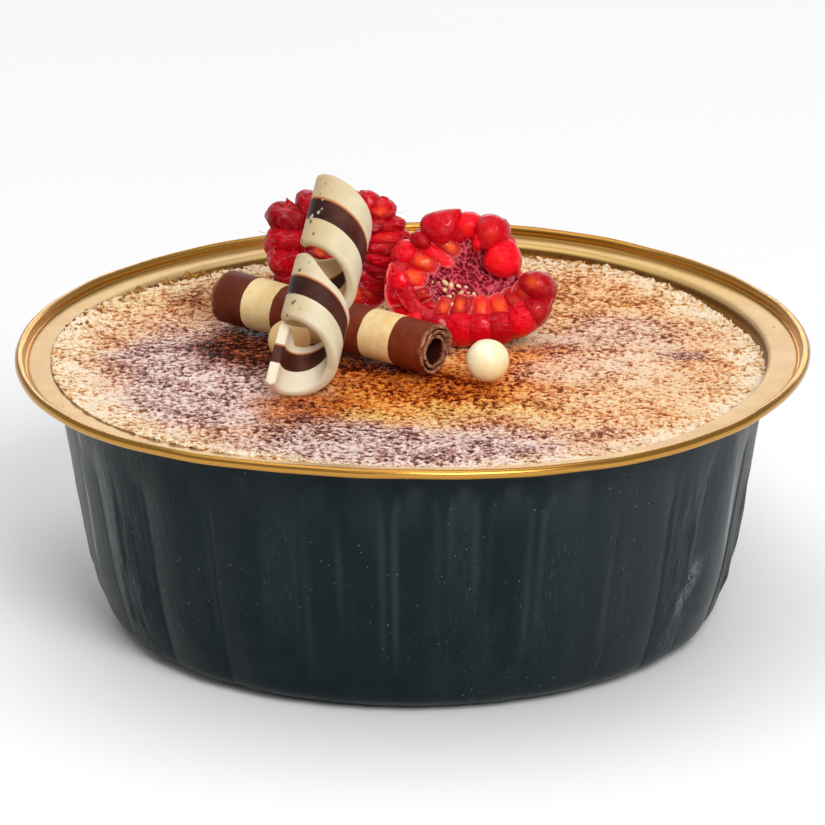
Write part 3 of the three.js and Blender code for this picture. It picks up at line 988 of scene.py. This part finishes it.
white = Finish("white_and_dark_chocolate")
across = white.named("across")
edge_wobble = (white.grain(0.5, 1.0, 0.5, 2.0) - 0.5) * 0.012
stripe_place = across + edge_wobble
stripe = stripe_place.rise(0.352, 0.36) * (1.0 - stripe_place.rise(0.632, 0.64))
bleed = stripe_place.rise(0.63, 0.635) * (1.0 - stripe_place.rise(0.65, 0.672))
mottle = white.grain(0.4, 3.0, 0.5, 5.0)
# Dark specks on the white; on the dark stripe the same specks are painted glints
specks = white.node("ShaderNodeTexVoronoi", None, {"Vector": white.place, "Scale": 1.0})
turns = white.named("turns")
speck_here = (1.0 - turns.of("FRACT").rise(0.1, 0.2)) * (1.0 - turns.rise(1.9, 1.95))
speck_here = speck_here * white.grain(0.5, 0.0, 0.5, 3.0).rise(0.38, 0.48)
speck = (1.0 - specks.rise(0.2, 0.28)) * speck_here
# Painted shade: darker where each turn begins at the left, as it curves away
shaded_turn_start = (1.0 - turns.of("FRACT").rise(0.05, 0.3)) * (1.0 - turns.rise(1.85, 1.9))
ivory = white.coats(
    white.mix(mottle.rise(0.3, 0.7), "dcd2ba", "d0c4a2"),
    (shaded_turn_start * 0.6, "c8a874"),
    # Painted reflection: a golden warmth on the inner face of the upper turns
    (white.named("inner") * (1.0 - turns.rise(1.3, 1.6)) * 0.5, "e4b66a"),
    (turns.rise(1.5, 1.7) * 0.5, "f2e8d2"),
    # Painted shade: the top turn is darker and warmer
    ((1.0 - turns.rise(0.1, 0.4)) * 0.7, "c8ae84"),
    (speck * 0.9, "2e1c10"),
)
dark = white.coats(
    white.mix(mottle.rise(0.4, 0.7), "40180e", "562a1c"),
    (shaded_turn_start * 0.8, "1c0a08"),
    # Painted glints on the dark stripe
    (speck * 0.8, "e8dcd0"),
)
tone = white.coats(ivory, (stripe, dark), (bleed * 0.9, "b4601e"))
curl_chocolate = white.surface(
    Base_Color=tone,
    Specular_IOR_Level=0.2,
    Roughness=0.38 + mottle * 0.12,
    Normal=white.bump(mottle, 0.2, 0.2),
    **translucent(0.25, (1.0, 0.8, 0.5), 1.2),
)

winding = Recipe("wound_ribbon", {
    "Outer radius": 4.0, "Thickness": 1.4, "Turns": 2.0, "Pitch": 10.2, "Tightening": 1.5,
    "Sag": 0.9, "Tilt": 0.85, "Top width": 9.45, "End width": 8.0, "Trim": 0.66,
})
strip = winding.node("GeometryNodeMeshCube", None, {
    "Size": (1.0, 1.0, 1.0), "Vertices X": 260, "Vertices Y": 56, "Vertices Z": 9,
})
u, v, w = winding.split(winding.node("GeometryNodeInputPosition"))
turns = (u + 0.5) * winding.size("Turns")
marked = winding.keep(winding.keep(strip, "across", v + 0.5), "turns", turns)
marked = winding.keep(marked, "inner", (0.5 - w).rise(0.9, 1.0))
last = (turns - 1.0).of("MAXIMUM", 0.0)
last_half = (turns * 2.0 - 3.0).of("MAXIMUM", 0.0)
drop = (
    winding.size("Pitch") * turns - winding.size("Tightening") * last ** 3.0
    + winding.size("Sag") * (last_half * math.pi).of("SINE")
    - winding.size("Tilt") * (turns * (2 * math.pi)).of("SINE") * (1.0 - turns.rise(1.3, 1.6))
)
length = winding.size("Pitch") * winding.size("Turns") - winding.size("Tightening")
width = winding.size("Top width") + (winding.size("End width") - winding.size("Top width")) * (u + 0.5)
lip = (v.of("ABSOLUTE") * 2.0) ** 26.0
end_lip = (u.of("ABSOLUTE") * 2.0) ** 90.0
face_lip = (w.of("ABSOLUTE") * 2.0) ** 6.0
slab = winding.size("Thickness") * (1.0 - lip * 0.35 - end_lip * 0.3)
angle = turns * (2 * math.pi) + math.pi
reach = winding.size("Outer radius") - winding.size("Thickness") * 0.5 + w * slab
# At the back of the lowest turn the ribbon is worn narrow above its stripe
trimmed = (v - 0.16).of("MAXIMUM", 0.0) * turns.rise(1.1, 1.3) * (1.0 - turns.rise(1.84, 1.93))
height_in_ribbon = v - trimmed * winding.size("Trim")
wound = winding.move(marked, winding.scale(
    winding.vector(
        reach * angle.of("COSINE"),
        reach * angle.of("SINE"),
        length - drop + height_in_ribbon * (width - face_lip * lip * 0.3),
    ), MM,
))
winding.finish_with(wound, curl_chocolate)
curl = winding.apply(make_piece("chocolate_curl_striped", [(0, 0, 0)], [], [curl_chocolate]))
lean = Vector((0, 0, 1)).rotation_difference(CURL_AXIS).to_matrix().to_4x4()
curl.data.transform(Matrix.Translation(CURL_FOOT * MM) @ lean)
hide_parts("chocolate_curl")
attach(curl, "root")

# ---------------------------------------------------------------------------------------
# White pearls. Little balls of white chocolate, tumbled smooth, not quite round.

PEARL_RADIUS = 2.6

pearl_finish = Finish("white_chocolate_pearl")
blush = pearl_finish.grain(0.35, 2.0, 0.5, 2.0)
pearl_tone = pearl_finish.mix(blush.rise(0.3, 0.7), "fff6d6", "fae8b4")
# The one at the back is painted warmer, as reflected light from the caramel and the roll
warm_reflection = 1.0 - pearl_finish.split(pearl_finish.place)[0].rise(-10.0, 0.0)
pearl_white = pearl_finish.surface(
    Base_Color=pearl_finish.mix(warm_reflection * 0.7, pearl_tone, "f6c46a"),
    Roughness=0.3 + blush * 0.1,
    Normal=pearl_finish.bump(blush, 0.15, 0.2),
    **translucent(0.4, (1.0, 0.8, 0.5), 1.5),
)


def closed_faces(rings, around):
    """Faces over rings of points, with one point before them and one after that close
    the two ends."""
    faces = [tuple(i + 1 for i in face) for face in turned_faces(rings, around)]
    top = 1 + (rings - 1) * around
    last = top + around
    for k in range(around):
        nxt = (k + 1) % around
        faces.append((0, 1 + nxt, 1 + k))
        faces.append((top + k, top + nxt, last))
    return faces


def ball(centre, radii, around, rings):
    """Points and faces of a closed ball of rings, with a point at each pole along Z."""
    polar = np.linspace(0, np.pi, rings + 1)[1:-1]
    turn = np.linspace(0, 2 * np.pi, around, endpoint=False)
    p, t = np.meshgrid(polar, turn, indexing="ij")
    body = np.column_stack([
        (np.sin(p) * np.cos(t)).ravel(), (np.sin(p) * np.sin(t)).ravel(), (-np.cos(p)).ravel(),
    ])
    unit = np.vstack([[[0, 0, -1]], body, [[0, 0, 1]]])
    return unit, unit * np.array(radii) + np.array(centre), closed_faces(rings - 1, around)


for node, centre, squash in (
    ("pearl_front", (8.9, -8.5, 34.4), (1.0, 0.99, 0.985)),
    ("pearl_back", (-14.7, -1.2, 34.5), (0.99, 1.0, 0.98)),
):
    unit, points, faces = ball(centre, [PEARL_RADIUS * s for s in squash], 64, 40)
    dimple = 0.04 * np.sin(3 * unit[:, 0] + 2 * unit[:, 2] + centre[0])
    pearl = make_piece(node + "_tumbled", points - unit * np.abs(dimple)[:, None], faces, [pearl_white])
    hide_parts(node)
    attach(pearl, "root")

# ---------------------------------------------------------------------------------------
# Raspberry halves. Each berry is cut along its length: round the cut face the drupelets
# are sliced open, wet and clear, with a seed glowing in some; whole drupelets cover the back;
# the fibrous bed that held the stalk is in the middle, open at one end.

fruit = Finish("raspberry_flesh")
tint_and_shade = fruit.named("tint_and_shade")
glow = fruit.named("seed")
film = fruit.named("film")
dull = fruit.named("dull")
pulp = fruit.grain(0.8, 3.0, 0.6, 2.0)
wrinkle = fruit.grain(1.5, 4.0, 0.65, 6.0)
velvet_glint = fruit.grain(4.5, 2.0, 0.6, 19.0).rise(0.56, 0.68)
x, y, z = fruit.split(fruit.place)
drawn = fruit.noise(fruit.vector(x * 0.3, y, z * 1.1), 0.9, 1.0, 0.5, 14.0)
wrinkle_glint_streak = 1.0 - (drawn - 0.5).of("ABSOLUTE").rise(0.0, 0.035)
tone = fruit.coats(
    # Random tint of each drupelet, times its painted shade
    fruit.mix(tint_and_shade, "66000c", "f8061e"),
    (pulp.rise(0.52, 0.7) * 0.3, "f02c3c"),
    (wrinkle.rise(0.5, 0.66) * (0.3 + dull * 0.15), "6a0010"),
    # Painted highlight: fine pale specks over the flesh
    (velvet_glint * 0.08, "ff5a68"),
    # Painted highlight: thin pale streaks along the wrinkles, mostly on the dull berry
    (wrinkle_glint_streak * (0.03 + dull * 0.2), "f08c9a"),
    (film * 0.75, "ff8484"),
    (glow * 0.9, "ff6a2a"),
)
raspberry_flesh = fruit.surface(
    Base_Color=tone,
    Roughness=0.06 + wrinkle * 0.2 + dull * 0.14,
    Specular_IOR_Level=0.35,
    Specular_Tint=(1.0, 0.25, 0.25, 1.0),
    Coat_Weight=fruit.grain(0.5, 1.0, 0.5, 23.0).rise(0.54, 0.64) * 0.4,
    Coat_Roughness=0.04,
    Normal=fruit.bump(wrinkle * (1.0 + dull) + pulp * 0.6, 0.4, 0.35),
    **translucent(0.3, (1.0, 0.08, 0.06), 0.8),
)

bed = Finish("raspberry_bed")
strands = bed.grain(1.4, 4.0, 0.7, 3.0)
ridge = bed.named("ridge")
bed_tone = bed.coats(
    "6c0418", (strands.rise(0.35, 0.65), "a8142e"), (ridge.rise(0.5, 0.95) * 0.65, "e86474"),
)
raspberry_bed = bed.surface(
    Base_Color=bed_tone,
    Roughness=0.35,
    Specular_IOR_Level=0.2,
    Specular_Tint=(1.0, 0.5, 0.5, 1.0),
    Coat_Weight=0.08,
    Coat_Roughness=0.15,
    Normal=bed.bump(strands, 0.6, 0.4),
    **translucent(0.3, (1.0, 0.2, 0.2), 0.8),
)

seed_finish = Finish("raspberry_seed")
seed_grain = seed_finish.grain(3.0, 2.0, 0.5, 1.0)
seed_coat = seed_finish.surface(
    Base_Color=seed_finish.mix(seed_grain.rise(0.3, 0.7), "f2dcae", "d8a468"),
    Roughness=0.35,
    Normal=seed_finish.bump(seed_grain, 0.4, 0.1),
)

hair_finish = Finish("raspberry_hair")
hair_shade = hair_finish.grain(0.8, 1.0, 0.5, 1.0)
hair_coat = hair_finish.surface(
    Base_Color=hair_finish.mix(hair_shade.rise(0.3, 0.7), "d89a86", "a84a48"),
    Roughness=0.5,
)

DRUPELET_AROUND = 38
REAR_DRUPELETS = 44
GOLDEN_TURN = 2.39996


def drupelet(x, y, turn, reach, width, thick, rise, sliced, glowing, widening=0.16):
    """One drupelet on a berry's face: its middle, the way it points, half its size in
    each direction and its height. A sliced one is cut flat, with a thin raised skin
    round wet flesh. Its marks are the seed that glows through it, that skin and a
    painted shade, darker low on a whole drupelet and round a sliced one's outside."""
    cut = -0.25 if sliced else 1.0
    last_polar = math.acos(-cut)
    polar = np.linspace(0, last_polar, 19)[1:]
    ring_r = np.sin(polar) ** 0.82
    ring_z = -np.cos(polar) * thick
    skin = np.zeros(len(polar))
    inner = np.zeros(len(polar))
    if sliced:
        cut_r = ring_r[-1]
        level = ring_z[-1]
        rims = np.array([0.97, 0.92, 0.86, 0.74, 0.58, 0.4, 0.2])
        lift = np.array([0.1, 0.04, -0.06, 0.06, 0.17, 0.24, 0.28])
        ring_r = np.append(ring_r, rims * cut_r)
        ring_z = np.append(ring_z, level + lift * width)
        skin[-1] = 0.5
        skin = np.append(skin, [1.0, 0.8, 0.15, 0, 0, 0, 0])
        inner = np.append(inner, np.ones(len(rims)))
        tip_z = level + 0.3 * width
    else:
        ring_r, ring_z = ring_r[:-1], ring_z[:-1]
        skin = 0.2 * np.exp(-((ring_z / thick - 0.2) / 0.16) ** 2)
        inner = np.maximum(0, ring_z / thick)
        tip_z = thick
    around = np.linspace(0, 2 * np.pi, DRUPELET_AROUND, endpoint=False)
    r = np.repeat(ring_r, DRUPELET_AROUND)
    z = np.repeat(ring_z, DRUPELET_AROUND)
    a = np.tile(around, len(ring_r))
    local = np.vstack([
        [[0, 0, -thick]], np.column_stack([r * np.cos(a), r * np.sin(a), z]), [[0, 0, tip_z]],
    ])
    skin = np.concatenate([[0], np.repeat(skin, DRUPELET_AROUND), [0]])
    inner = np.concatenate([[0], np.repeat(inner, DRUPELET_AROUND), [1]])
    # Painted shade: a whole drupelet darkens towards its base, where it meets its neighbours; a sliced one
    # is darker round its outside than on its cut face
    shade = smooth_step(-0.9, 0.5, local[:, 2] / thick) if not sliced else 0.55 + 0.45 * inner
    seed = np.exp(-((local[:, 0] + 0.22) / 0.34) ** 2 - (local[:, 1] / 0.4) ** 2) * inner * glowing
    if sliced:
        squared = np.maximum(np.abs(local[:, 0]), np.abs(local[:, 1])) + 1e-9
        circle = np.hypot(local[:, 0], local[:, 1]) + 1e-9
        local[:, :2] *= (1 + 0.6 * (circle / squared - 1))[:, None]
    shape = local * np.array([reach, width, 1.0])
    shape[:, 1] *= 1 + widening * local[:, 0]
    c, s = math.cos(math.radians(turn)), math.sin(math.radians(turn))
    points = np.column_stack([
        x + shape[:, 0] * c - shape[:, 1] * s,
        y + shape[:, 0] * s + shape[:, 1] * c,
        rise + shape[:, 2],
    ])
    return points, closed_faces(len(ring_r), DRUPELET_AROUND), seed, skin, shade


def berry_half(shape, face_drupelets, mouth_turn, bed_place, dice, tints, dullness):
    """Points, faces and marks of one half berry: the cut face is at Z = 0, its tip at -X."""
    length, height, depth = shape
    rows = list(face_drupelets)
    for k in range(REAR_DRUPELETS):
        down = (k + 0.5) / REAR_DRUPELETS * 0.9
        turn = k * GOLDEN_TURN
        flat = math.sqrt(1 - (1 - down) ** 2)
        size = dice.uniform(1.7, 2.1)
        place = (
            flat * math.cos(turn) * (length / 2 - size),
            flat * math.sin(turn) * (height / 2 - size),
            -(1 - down) * (depth - size),
        )
        if flat > 0.6 and abs(degrees_off(math.degrees(turn), mouth_turn + 8)) < 32:
            continue
        rows.append((place[0], place[1], math.degrees(turn), size, size, size, place[2] - 0.3, False, 0))
    # The flesh between the drupelets
    unit, filling, faces = ball((-0.3, 0, 0), (length / 2 - 1.5, height / 2 - 1.2, depth - 0.9), 60, 40)
    from_mouth = np.degrees(np.arctan2(filling[:, 1], filling[:, 0])) - mouth_turn
    filling[:, :2] *= (1 - 0.4 * np.exp(-(from_mouth / 24) ** 2))[:, None]
    bed_x, bed_y, bed_a, bed_b = bed_place
    in_bed = np.hypot((filling[:, 0] - bed_x) / bed_a, (filling[:, 1] - bed_y) / bed_b)
    filling[:, 2] = np.minimum(filling[:, 2], -2.4 + 2.7 * smooth_step(0.85, 1.25, in_bed))
    points = [filling]
    count = len(filling)
    still = np.zeros(count)
    marks = {"tint_and_shade": [still + 0.5], "seed": [still], "film": [still], "dull": [still + dullness]}
    for row in rows:
        made, corners, seed, skin, shade = drupelet(*row)
        points.append(made)
        faces.extend(tuple(i + count for i in face) for face in corners)
        count += len(made)
        marks["tint_and_shade"].append(dice.uniform(*tints) * shade)
        marks["seed"].append(seed)
        marks["film"].append(skin)
        marks["dull"].append(np.full(len(made), dullness if row[5] > 1.4 or not row[7] else dullness * 0.5))
    return np.vstack(points), faces, {name: np.concatenate(values) for name, values in marks.items()}


def stand(centre, face, along):
    """The turn and place that puts a half berry's cut face towards `face`."""
    out = Vector(face).normalized()
    length = (Vector(along) - out * Vector(along).dot(out)).normalized()
    up = out.cross(length)
    turn = Matrix((length, up, out)).transposed().to_4x4()
    return Matrix.Translation(Vector(centre) * MM) @ turn


def pip(recipe):
    """A raspberry seed, an oval once stretched."""
    return bubble(recipe, 2)


def hair(recipe):
    """The dried style of one drupelet: a thin curved hair."""
    line = recipe.node("GeometryNodeCurvePrimitiveBezierSegment", {"mode": "POSITION"}, {
        "Resolution": 8,
        "Start": (0.0, 0.0, -0.2 * MM),
        "Start Handle": (0.0, 0.0, 0.5 * MM),
        "End Handle": (0.3 * MM, 0.1 * MM, 0.9 * MM),
        "End": (0.7 * MM, 0.2 * MM, 1.0 * MM),
    })
    loop = recipe.node("GeometryNodeCurvePrimitiveCircle", None, {
        "Resolution": 4, "Radius": recipe.size("Size"),
    })
    return recipe.node("GeometryNodeCurveToMesh", None, {
        "Curve": line, "Profile Curve": loop, "Fill Caps": True,
    })


# Each row is one drupelet of the cut face: x, y, the way it points in degrees, half its
# length, width and thickness, its height, whether it is sliced, how its seed glows, and
# how much it widens outwards
FRONT_DRUPELETS = [
    (-3.6, 5.9, 118, 2.2, 2.2, 2.3, -0.9, False, 0.1),
    (-3.2, 6.5, 44, 2.8, 2.0, 2.0, -0.4, False, 0.0, -0.6),
    (-0.5, 6.4, 92, 1.9, 2.1, 2.2, -1.4, False, 0.1),
    (2.5, 5.7, 68, 2.4, 2.3, 2.5, -0.8, False, 0.15),
    (4.0, 2.7, 20, 2.4, 2.5, 2.4, -0.8, False, 0.1),
    (1.1, 4.9, 76, 1.7, 0.9, 1.5, -0.5, False, 0.0),
    (-5.8, 4.3, 150, 1.5, 1.2, 1.7, -0.6, False, 0.1),
    (-2.7, 4.0, 146, 2.1, 1.2, 1.5, 0.4, True, 1.0),
    (-4.0, 2.8, 152, 2.6, 1.05, 1.7, 0.45, True, 0.1),
    (-6.0, 2.0, 161, 2.8, 1.5, 1.9, 0.5, True, 1.0),
    (-7.2, 0.0, 176, 2.7, 1.5, 1.9, 0.4, True, 1.0),
    (-7.7, -2.1, 190, 2.3, 1.55, 2.0, 0.3, True, 0.2),
    (-5.8, -2.4, 204, 2.1, 1.05, 1.6, 0.35, True, 0.15),
    (-6.7, -4.1, 218, 2.2, 1.6, 1.9, -0.2, True, 0.1),
    (-4.5, -4.6, 235, 2.1, 1.4, 1.8, 0.0, True, 0.4),
    (-2.8, -3.9, 248, 1.9, 1.2, 1.7, 0.4, True, 0.9),
    (-0.8, -3.6, 261, 1.9, 1.2, 1.7, 0.5, True, 1.0),
    (0.55, -3.7, 268, 1.9, 0.8, 1.7, 0.4, True, 0.1),
    (1.95, -3.9, 276, 2.2, 1.25, 1.7, 0.5, True, 1.0),
    (4.2, -3.6, 291, 2.4, 1.5, 1.8, 0.5, True, 1.0),
    (6.3, -2.8, 317, 2.8, 1.35, 1.9, 0.5, True, 0.2),
    (7.8, -1.5, 337, 2.7, 1.35, 1.9, 0.55, True, 0.5),
    (8.3, -0.2, 346, 2.3, 1.75, 2.2, -0.2, False, 0.55),
    (9.2, -1.0, 358, 1.6, 2.0, 2.3, -1.3, False, 0.1),
    (-6.0, -5.4, 230, 1.9, 1.8, 2.1, -1.4, False, 0.0),
    (-3.1, -5.9, 250, 2.1, 2.0, 2.3, -1.2, False, 0.0),
    (-0.6, -5.8, 262, 2.3, 2.5, 2.7, -1.4, False, 0.0),
    (1.9, -5.7, 275, 2.2, 2.5, 2.7, -1.4, False, 0.0),
    (4.3, -5.3, 290, 2.2, 2.5, 2.7, -1.4, False, 0.0),
    (6.6, -4.4, 310, 2.1, 2.5, 2.7, -1.5, False, 0.0),
    (8.2, -3.0, 330, 2.0, 2.4, 2.6, -1.6, False, 0.0),
]
BACK_DRUPELETS = [
    (-6.5, 2.6, 172, 2.7, 2.0, 2.2, -0.1, False, 0.05),
    (-6.5, 4.0, 118, 1.3, 0.9, 1.0, 0.3, False, 0.0, -0.75),
    (-5.9, 0.1, 180, 2.6, 1.9, 2.3, -0.1, False, 0.05),
    (-5.5, -2.4, 196, 2.5, 2.0, 2.3, -0.3, False, 0.0),
    (-4.7, -4.2, 218, 2.2, 1.8, 2.0, -0.6, False, 0.0),
    (-3.2, -5.2, 242, 1.9, 1.6, 1.8, -0.6, False, 0.0),
    (-0.8, -5.6, 262, 1.9, 1.5, 1.7, -0.4, True, 0.4),
    (1.5, -5.5, 280, 1.9, 1.4, 1.7, -0.2, True, 0.6),
    (3.5, -5.1, 296, 1.9, 1.4, 1.7, -0.1, True, 0.9),
    (5.3, -4.4, 320, 1.9, 1.5, 1.8, -0.1, True, 0.6),
    (-3.9, 4.4, 130, 2.2, 1.8, 2.0, -0.7, False, 0.0),
    (-1.4, 4.9, 100, 2.1, 1.7, 2.0, -0.8, False, 0.0),
    (1.0, 5.3, 84, 2.1, 1.6, 2.0, -0.7, False, 0.0),
    (2.8, 6.2, 80, 1.7, 1.5, 1.7, -0.5, False, 0.0),
    (4.6, 5.7, 50, 1.75, 1.6, 1.8, 0.2, False, 0.7),
    (4.4, 3.9, 30, 2.0, 1.4, 1.6, -0.1, False, 0.1),
    (5.8, 4.0, 16, 2.3, 1.2, 1.6, -0.1, False, 0.05),
    (6.1, 2.6, 12, 2.9, 1.25, 1.5, 0.0, False, 0.15),
    (6.1, 1.1, 7, 2.7, 1.2, 1.5, -0.1, False, 0.05),
    (6.0, -0.3, 0, 2.4, 1.2, 1.4, -0.2, False, 0.0),
    (6.0, -1.8, 348, 2.2, 1.2, 1.4, -0.35, False, 0.0),
    (-3.4, 1.6, 165, 2.1, 1.2, 1.6, 0.1, True, 0.1),
    (-2.3, -0.6, 166, 1.9, 0.95, 1.5, 0.3, True, 1.0),
    (-0.2, -1.4, 172, 1.6, 0.8, 1.3, 0.2, True, 0.2),
    (-2.6, -2.9, 215, 1.9, 1.1, 1.5, 0.0, True, 0.4),
]
berries = {
    "raspberry_half_front": {
        "shape": (20.6, 15.4, 7.5), "rows": FRONT_DRUPELETS, "mouth": 18, "tints": (0.3, 1.0),
        "dull": 0.1, "bed": (-0.1, 0.9, 5.8, 5.1), "seed": 11,
        "stand": ((6.6, 7.0, 39.5), (-0.05, -0.93, 0.36), (1, 0, -0.06)),
    },
    "raspberry_half_back": {
        "shape": (17.6, 13.2, 7.2), "rows": BACK_DRUPELETS, "mouth": 0, "tints": (0.15, 0.7),
        "dull": 0.9, "bed": (1.4, 0.2, 5.6, 4.6), "seed": 23,
        "stand": ((-9.3, 15.4, 40.6), (0.1, -0.95, 0.3), (1, 0, -0.2)),
    },
}
for node, berry in berries.items():
    dice = random.Random(berry["seed"])
    where = stand(*berry["stand"])
    points, faces, marks = berry_half(
        berry["shape"], berry["rows"], berry["mouth"], berry["bed"], dice, berry["tints"], berry["dull"],
    )
    flesh = make_piece(node + "_drupelets", points, faces, [raspberry_flesh], None, marks)
    shrinking = Recipe(node + "_wrinkles", {
        "Wrinkle depth": (0.22 + 0.3 * berry["dull"]) * MM, "Wrinkles per mm": 0.55, "Seed": 4.0,
    })
    x, y, z = shrinking.split(shrinking.position())
    folds = shrinking.noise(
        shrinking.vector(x * 0.4, y, z), shrinking.size("Wrinkles per mm"), 2.0, 0.6, shrinking.size("Seed")
    )
    sharp = (folds - 0.5).of("ABSOLUTE").rise(0.0, 0.07)
    push = (folds - 0.5 + (sharp - 1.0) * 0.22) * shrinking.size("Wrinkle depth") * 2.0
    normal = shrinking.node("GeometryNodeInputNormal")
    shrinking.finish_with(
        shrinking.move(shrinking.start, None, shrinking.scale(normal, push)),
        raspberry_flesh,
    )
    shrinking.apply(flesh)
    flesh.data.transform(where)

    # The bed: a shallow bowl of flesh, netted with fibres
    bed_x, bed_y, bed_a, bed_b = berry["bed"]
    unit, core_points, core_faces = ball((bed_x, bed_y, 0), (bed_a, bed_b, 5.0), 110, 90)
    spread = np.hypot(unit[:, 0], unit[:, 1])
    hollow = -0.75 - 1.1 * np.exp(-(((unit[:, 0] - 0.45) / 0.6) ** 2 + ((unit[:, 1] - 0.1) / 0.5) ** 2))
    core_points[:, 2] = np.minimum(core_points[:, 2], hollow + 0.5 * spread)
    core = make_piece(node + "_bed", core_points, core_faces, [raspberry_bed], None, {
        "facing": (core_points[:, 2] > -2.5) * (spread < 0.95),
        "low_left": (core_points[:, 2] > -2.5) * (unit[:, 1] < -0.25) * (unit[:, 0] < 0.2)
        * (spread < 0.88),
    })
    netting = Recipe(node + "_fibres", {"Fibre height": 0.42 * MM, "Cells per mm": 1.3, "Seed": 2.0})
    place = netting.position()
    bend = netting.noise(place, 0.8, 3.0, 0.65, netting.size("Seed"))
    bent = netting.node("ShaderNodeVectorMath", {"operation": "ADD"}, {
        0: place, 1: netting.vector(bend * 2.4, bend * -2.2, 0.0),
    })
    cells = netting.node("ShaderNodeTexVoronoi", {"feature": "DISTANCE_TO_EDGE"}, {
        "Vector": bent, "Scale": netting.size("Cells per mm"),
    })
    fibres = 1.0 - cells.rise(0.0, 0.26)
    lifted = (fibres + bend - 0.8) * netting.size("Fibre height") * netting.field("facing")
    raised_bed = netting.move(
        netting.keep(netting.start, "ridge", fibres), None,
        netting.vector(0.0, 0.0, lifted),
    )
    netting.finish_with(raised_bed, raspberry_bed)
    netting.apply(core)
    core.data.transform(where)
    everywhere = flesh.data.attributes.new("hairy", "FLOAT", "POINT")
    everywhere.data.foreach_set("value", np.ones(len(flesh.data.vertices), dtype=np.float32))
    seeds = scattered(node + "_seeds", core, {
        "Per square metre": 4.0e6, "Size": 0.4 * MM, "Seed": berry["seed"],
    }, "low_left", pip, seed_coat, (1.0, 0.6, 0.45), 0.5, 0.7 * MM)
    hairs = scattered(node + "_hairs", flesh, {
        "Per square metre": 1.8e4, "Size": 0.022 * MM, "Seed": berry["seed"],
    }, "hairy", hair, hair_coat, (1.0, 1.0, 1.0), 0.7)
    for piece in (flesh, core):
        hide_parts(node)
    for piece in (flesh, core, seeds, hairs):
        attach(piece, "root")

# ---------------------------------------------------------------------------------------
# Floor, light and camera. A pale table, soft studio light from above, in front and behind,
# and a long lens a little above the rim.

floor_finish = Finish("pale_table")
floor_shade = floor_finish.grain(0.01, 1.0, 0.5, 1.0)
table_white = floor_finish.surface(
    Base_Color=floor_finish.mix(floor_shade, "fafafa", "fdfdfd"),
    Roughness=0.9,
)
floor = make_piece(
    "table", [(-4000, -4000, -0.05), (4000, -4000, -0.05), (4000, 4000, -0.05), (-4000, 4000, -0.05)],
    [(0, 1, 2, 3)], [table_white],
)

# The room is dim, with a pale glow all round at table height
ROOM = 0.34
HORIZON_GLOW = 0.5
world = bpy.data.worlds.new("studio")
bpy.context.scene.world = world
world.use_nodes = True
sky = Sheet(world.node_tree)
direction = sky.node("ShaderNodeTexCoord", None, None, "Generated")
level = sky.split(direction)[2].of("ABSOLUTE")
glow = ROOM + (1.0 - level.rise(0.08, 0.24)) * HORIZON_GLOW
world.node_tree.links.new(glow.socket, world.node_tree.nodes["Background"].inputs["Strength"])
world.node_tree.nodes["Background"].inputs["Color"].default_value = (1.0, 1.0, 1.0, 1.0)


def softbox(name, place, target, size, power):
    lamp = bpy.data.lights.new(name, "AREA")
    lamp.shape = "RECTANGLE"
    lamp.size, lamp.size_y = size
    lamp.energy = power
    box = bpy.data.objects.new(name, lamp)
    box.location = place
    box.rotation_mode = "QUATERNION"
    box.rotation_quaternion = (Vector(target) - Vector(place)).to_track_quat("-Z", "Y")
    bpy.context.collection.objects.link(box)


softbox("overhead_light", (-0.1, 0.05, 0.95), (0, 0, 0.03), (1.0, 1.0), 3.9)
softbox("key_light", (0.25, -0.75, 0.6), (0, 0, 0.03), (0.45, 0.45), 6.6)
softbox("back_light", (0.1, 0.9, 0.36), (0, 0, 0.03), (0.8, 0.14), 1.4)

CAMERA_RISE = math.radians(18.8)
CAMERA_AWAY = 1.0
CAMERA_LENS = 364.3
CAMERA_AIM = Vector((0.0, 0.0, 24.98 * MM))
camera_data = bpy.data.cameras.new("camera")
camera_data.lens = CAMERA_LENS
camera_data.sensor_width = 36.0
camera_data.clip_start = 0.05
camera_data.clip_end = 20.0
camera = bpy.data.objects.new("camera", camera_data)
toward = Vector((0.0, -math.cos(CAMERA_RISE), math.sin(CAMERA_RISE)))
camera.location = CAMERA_AIM + toward * CAMERA_AWAY
camera.rotation_mode = "QUATERNION"
camera.rotation_quaternion = (-toward).to_track_quat("-Z", "Y")
bpy.context.collection.objects.link(camera)
bpy.context.scene.camera = camera
bpy.context.scene.view_settings.view_transform = "Standard"
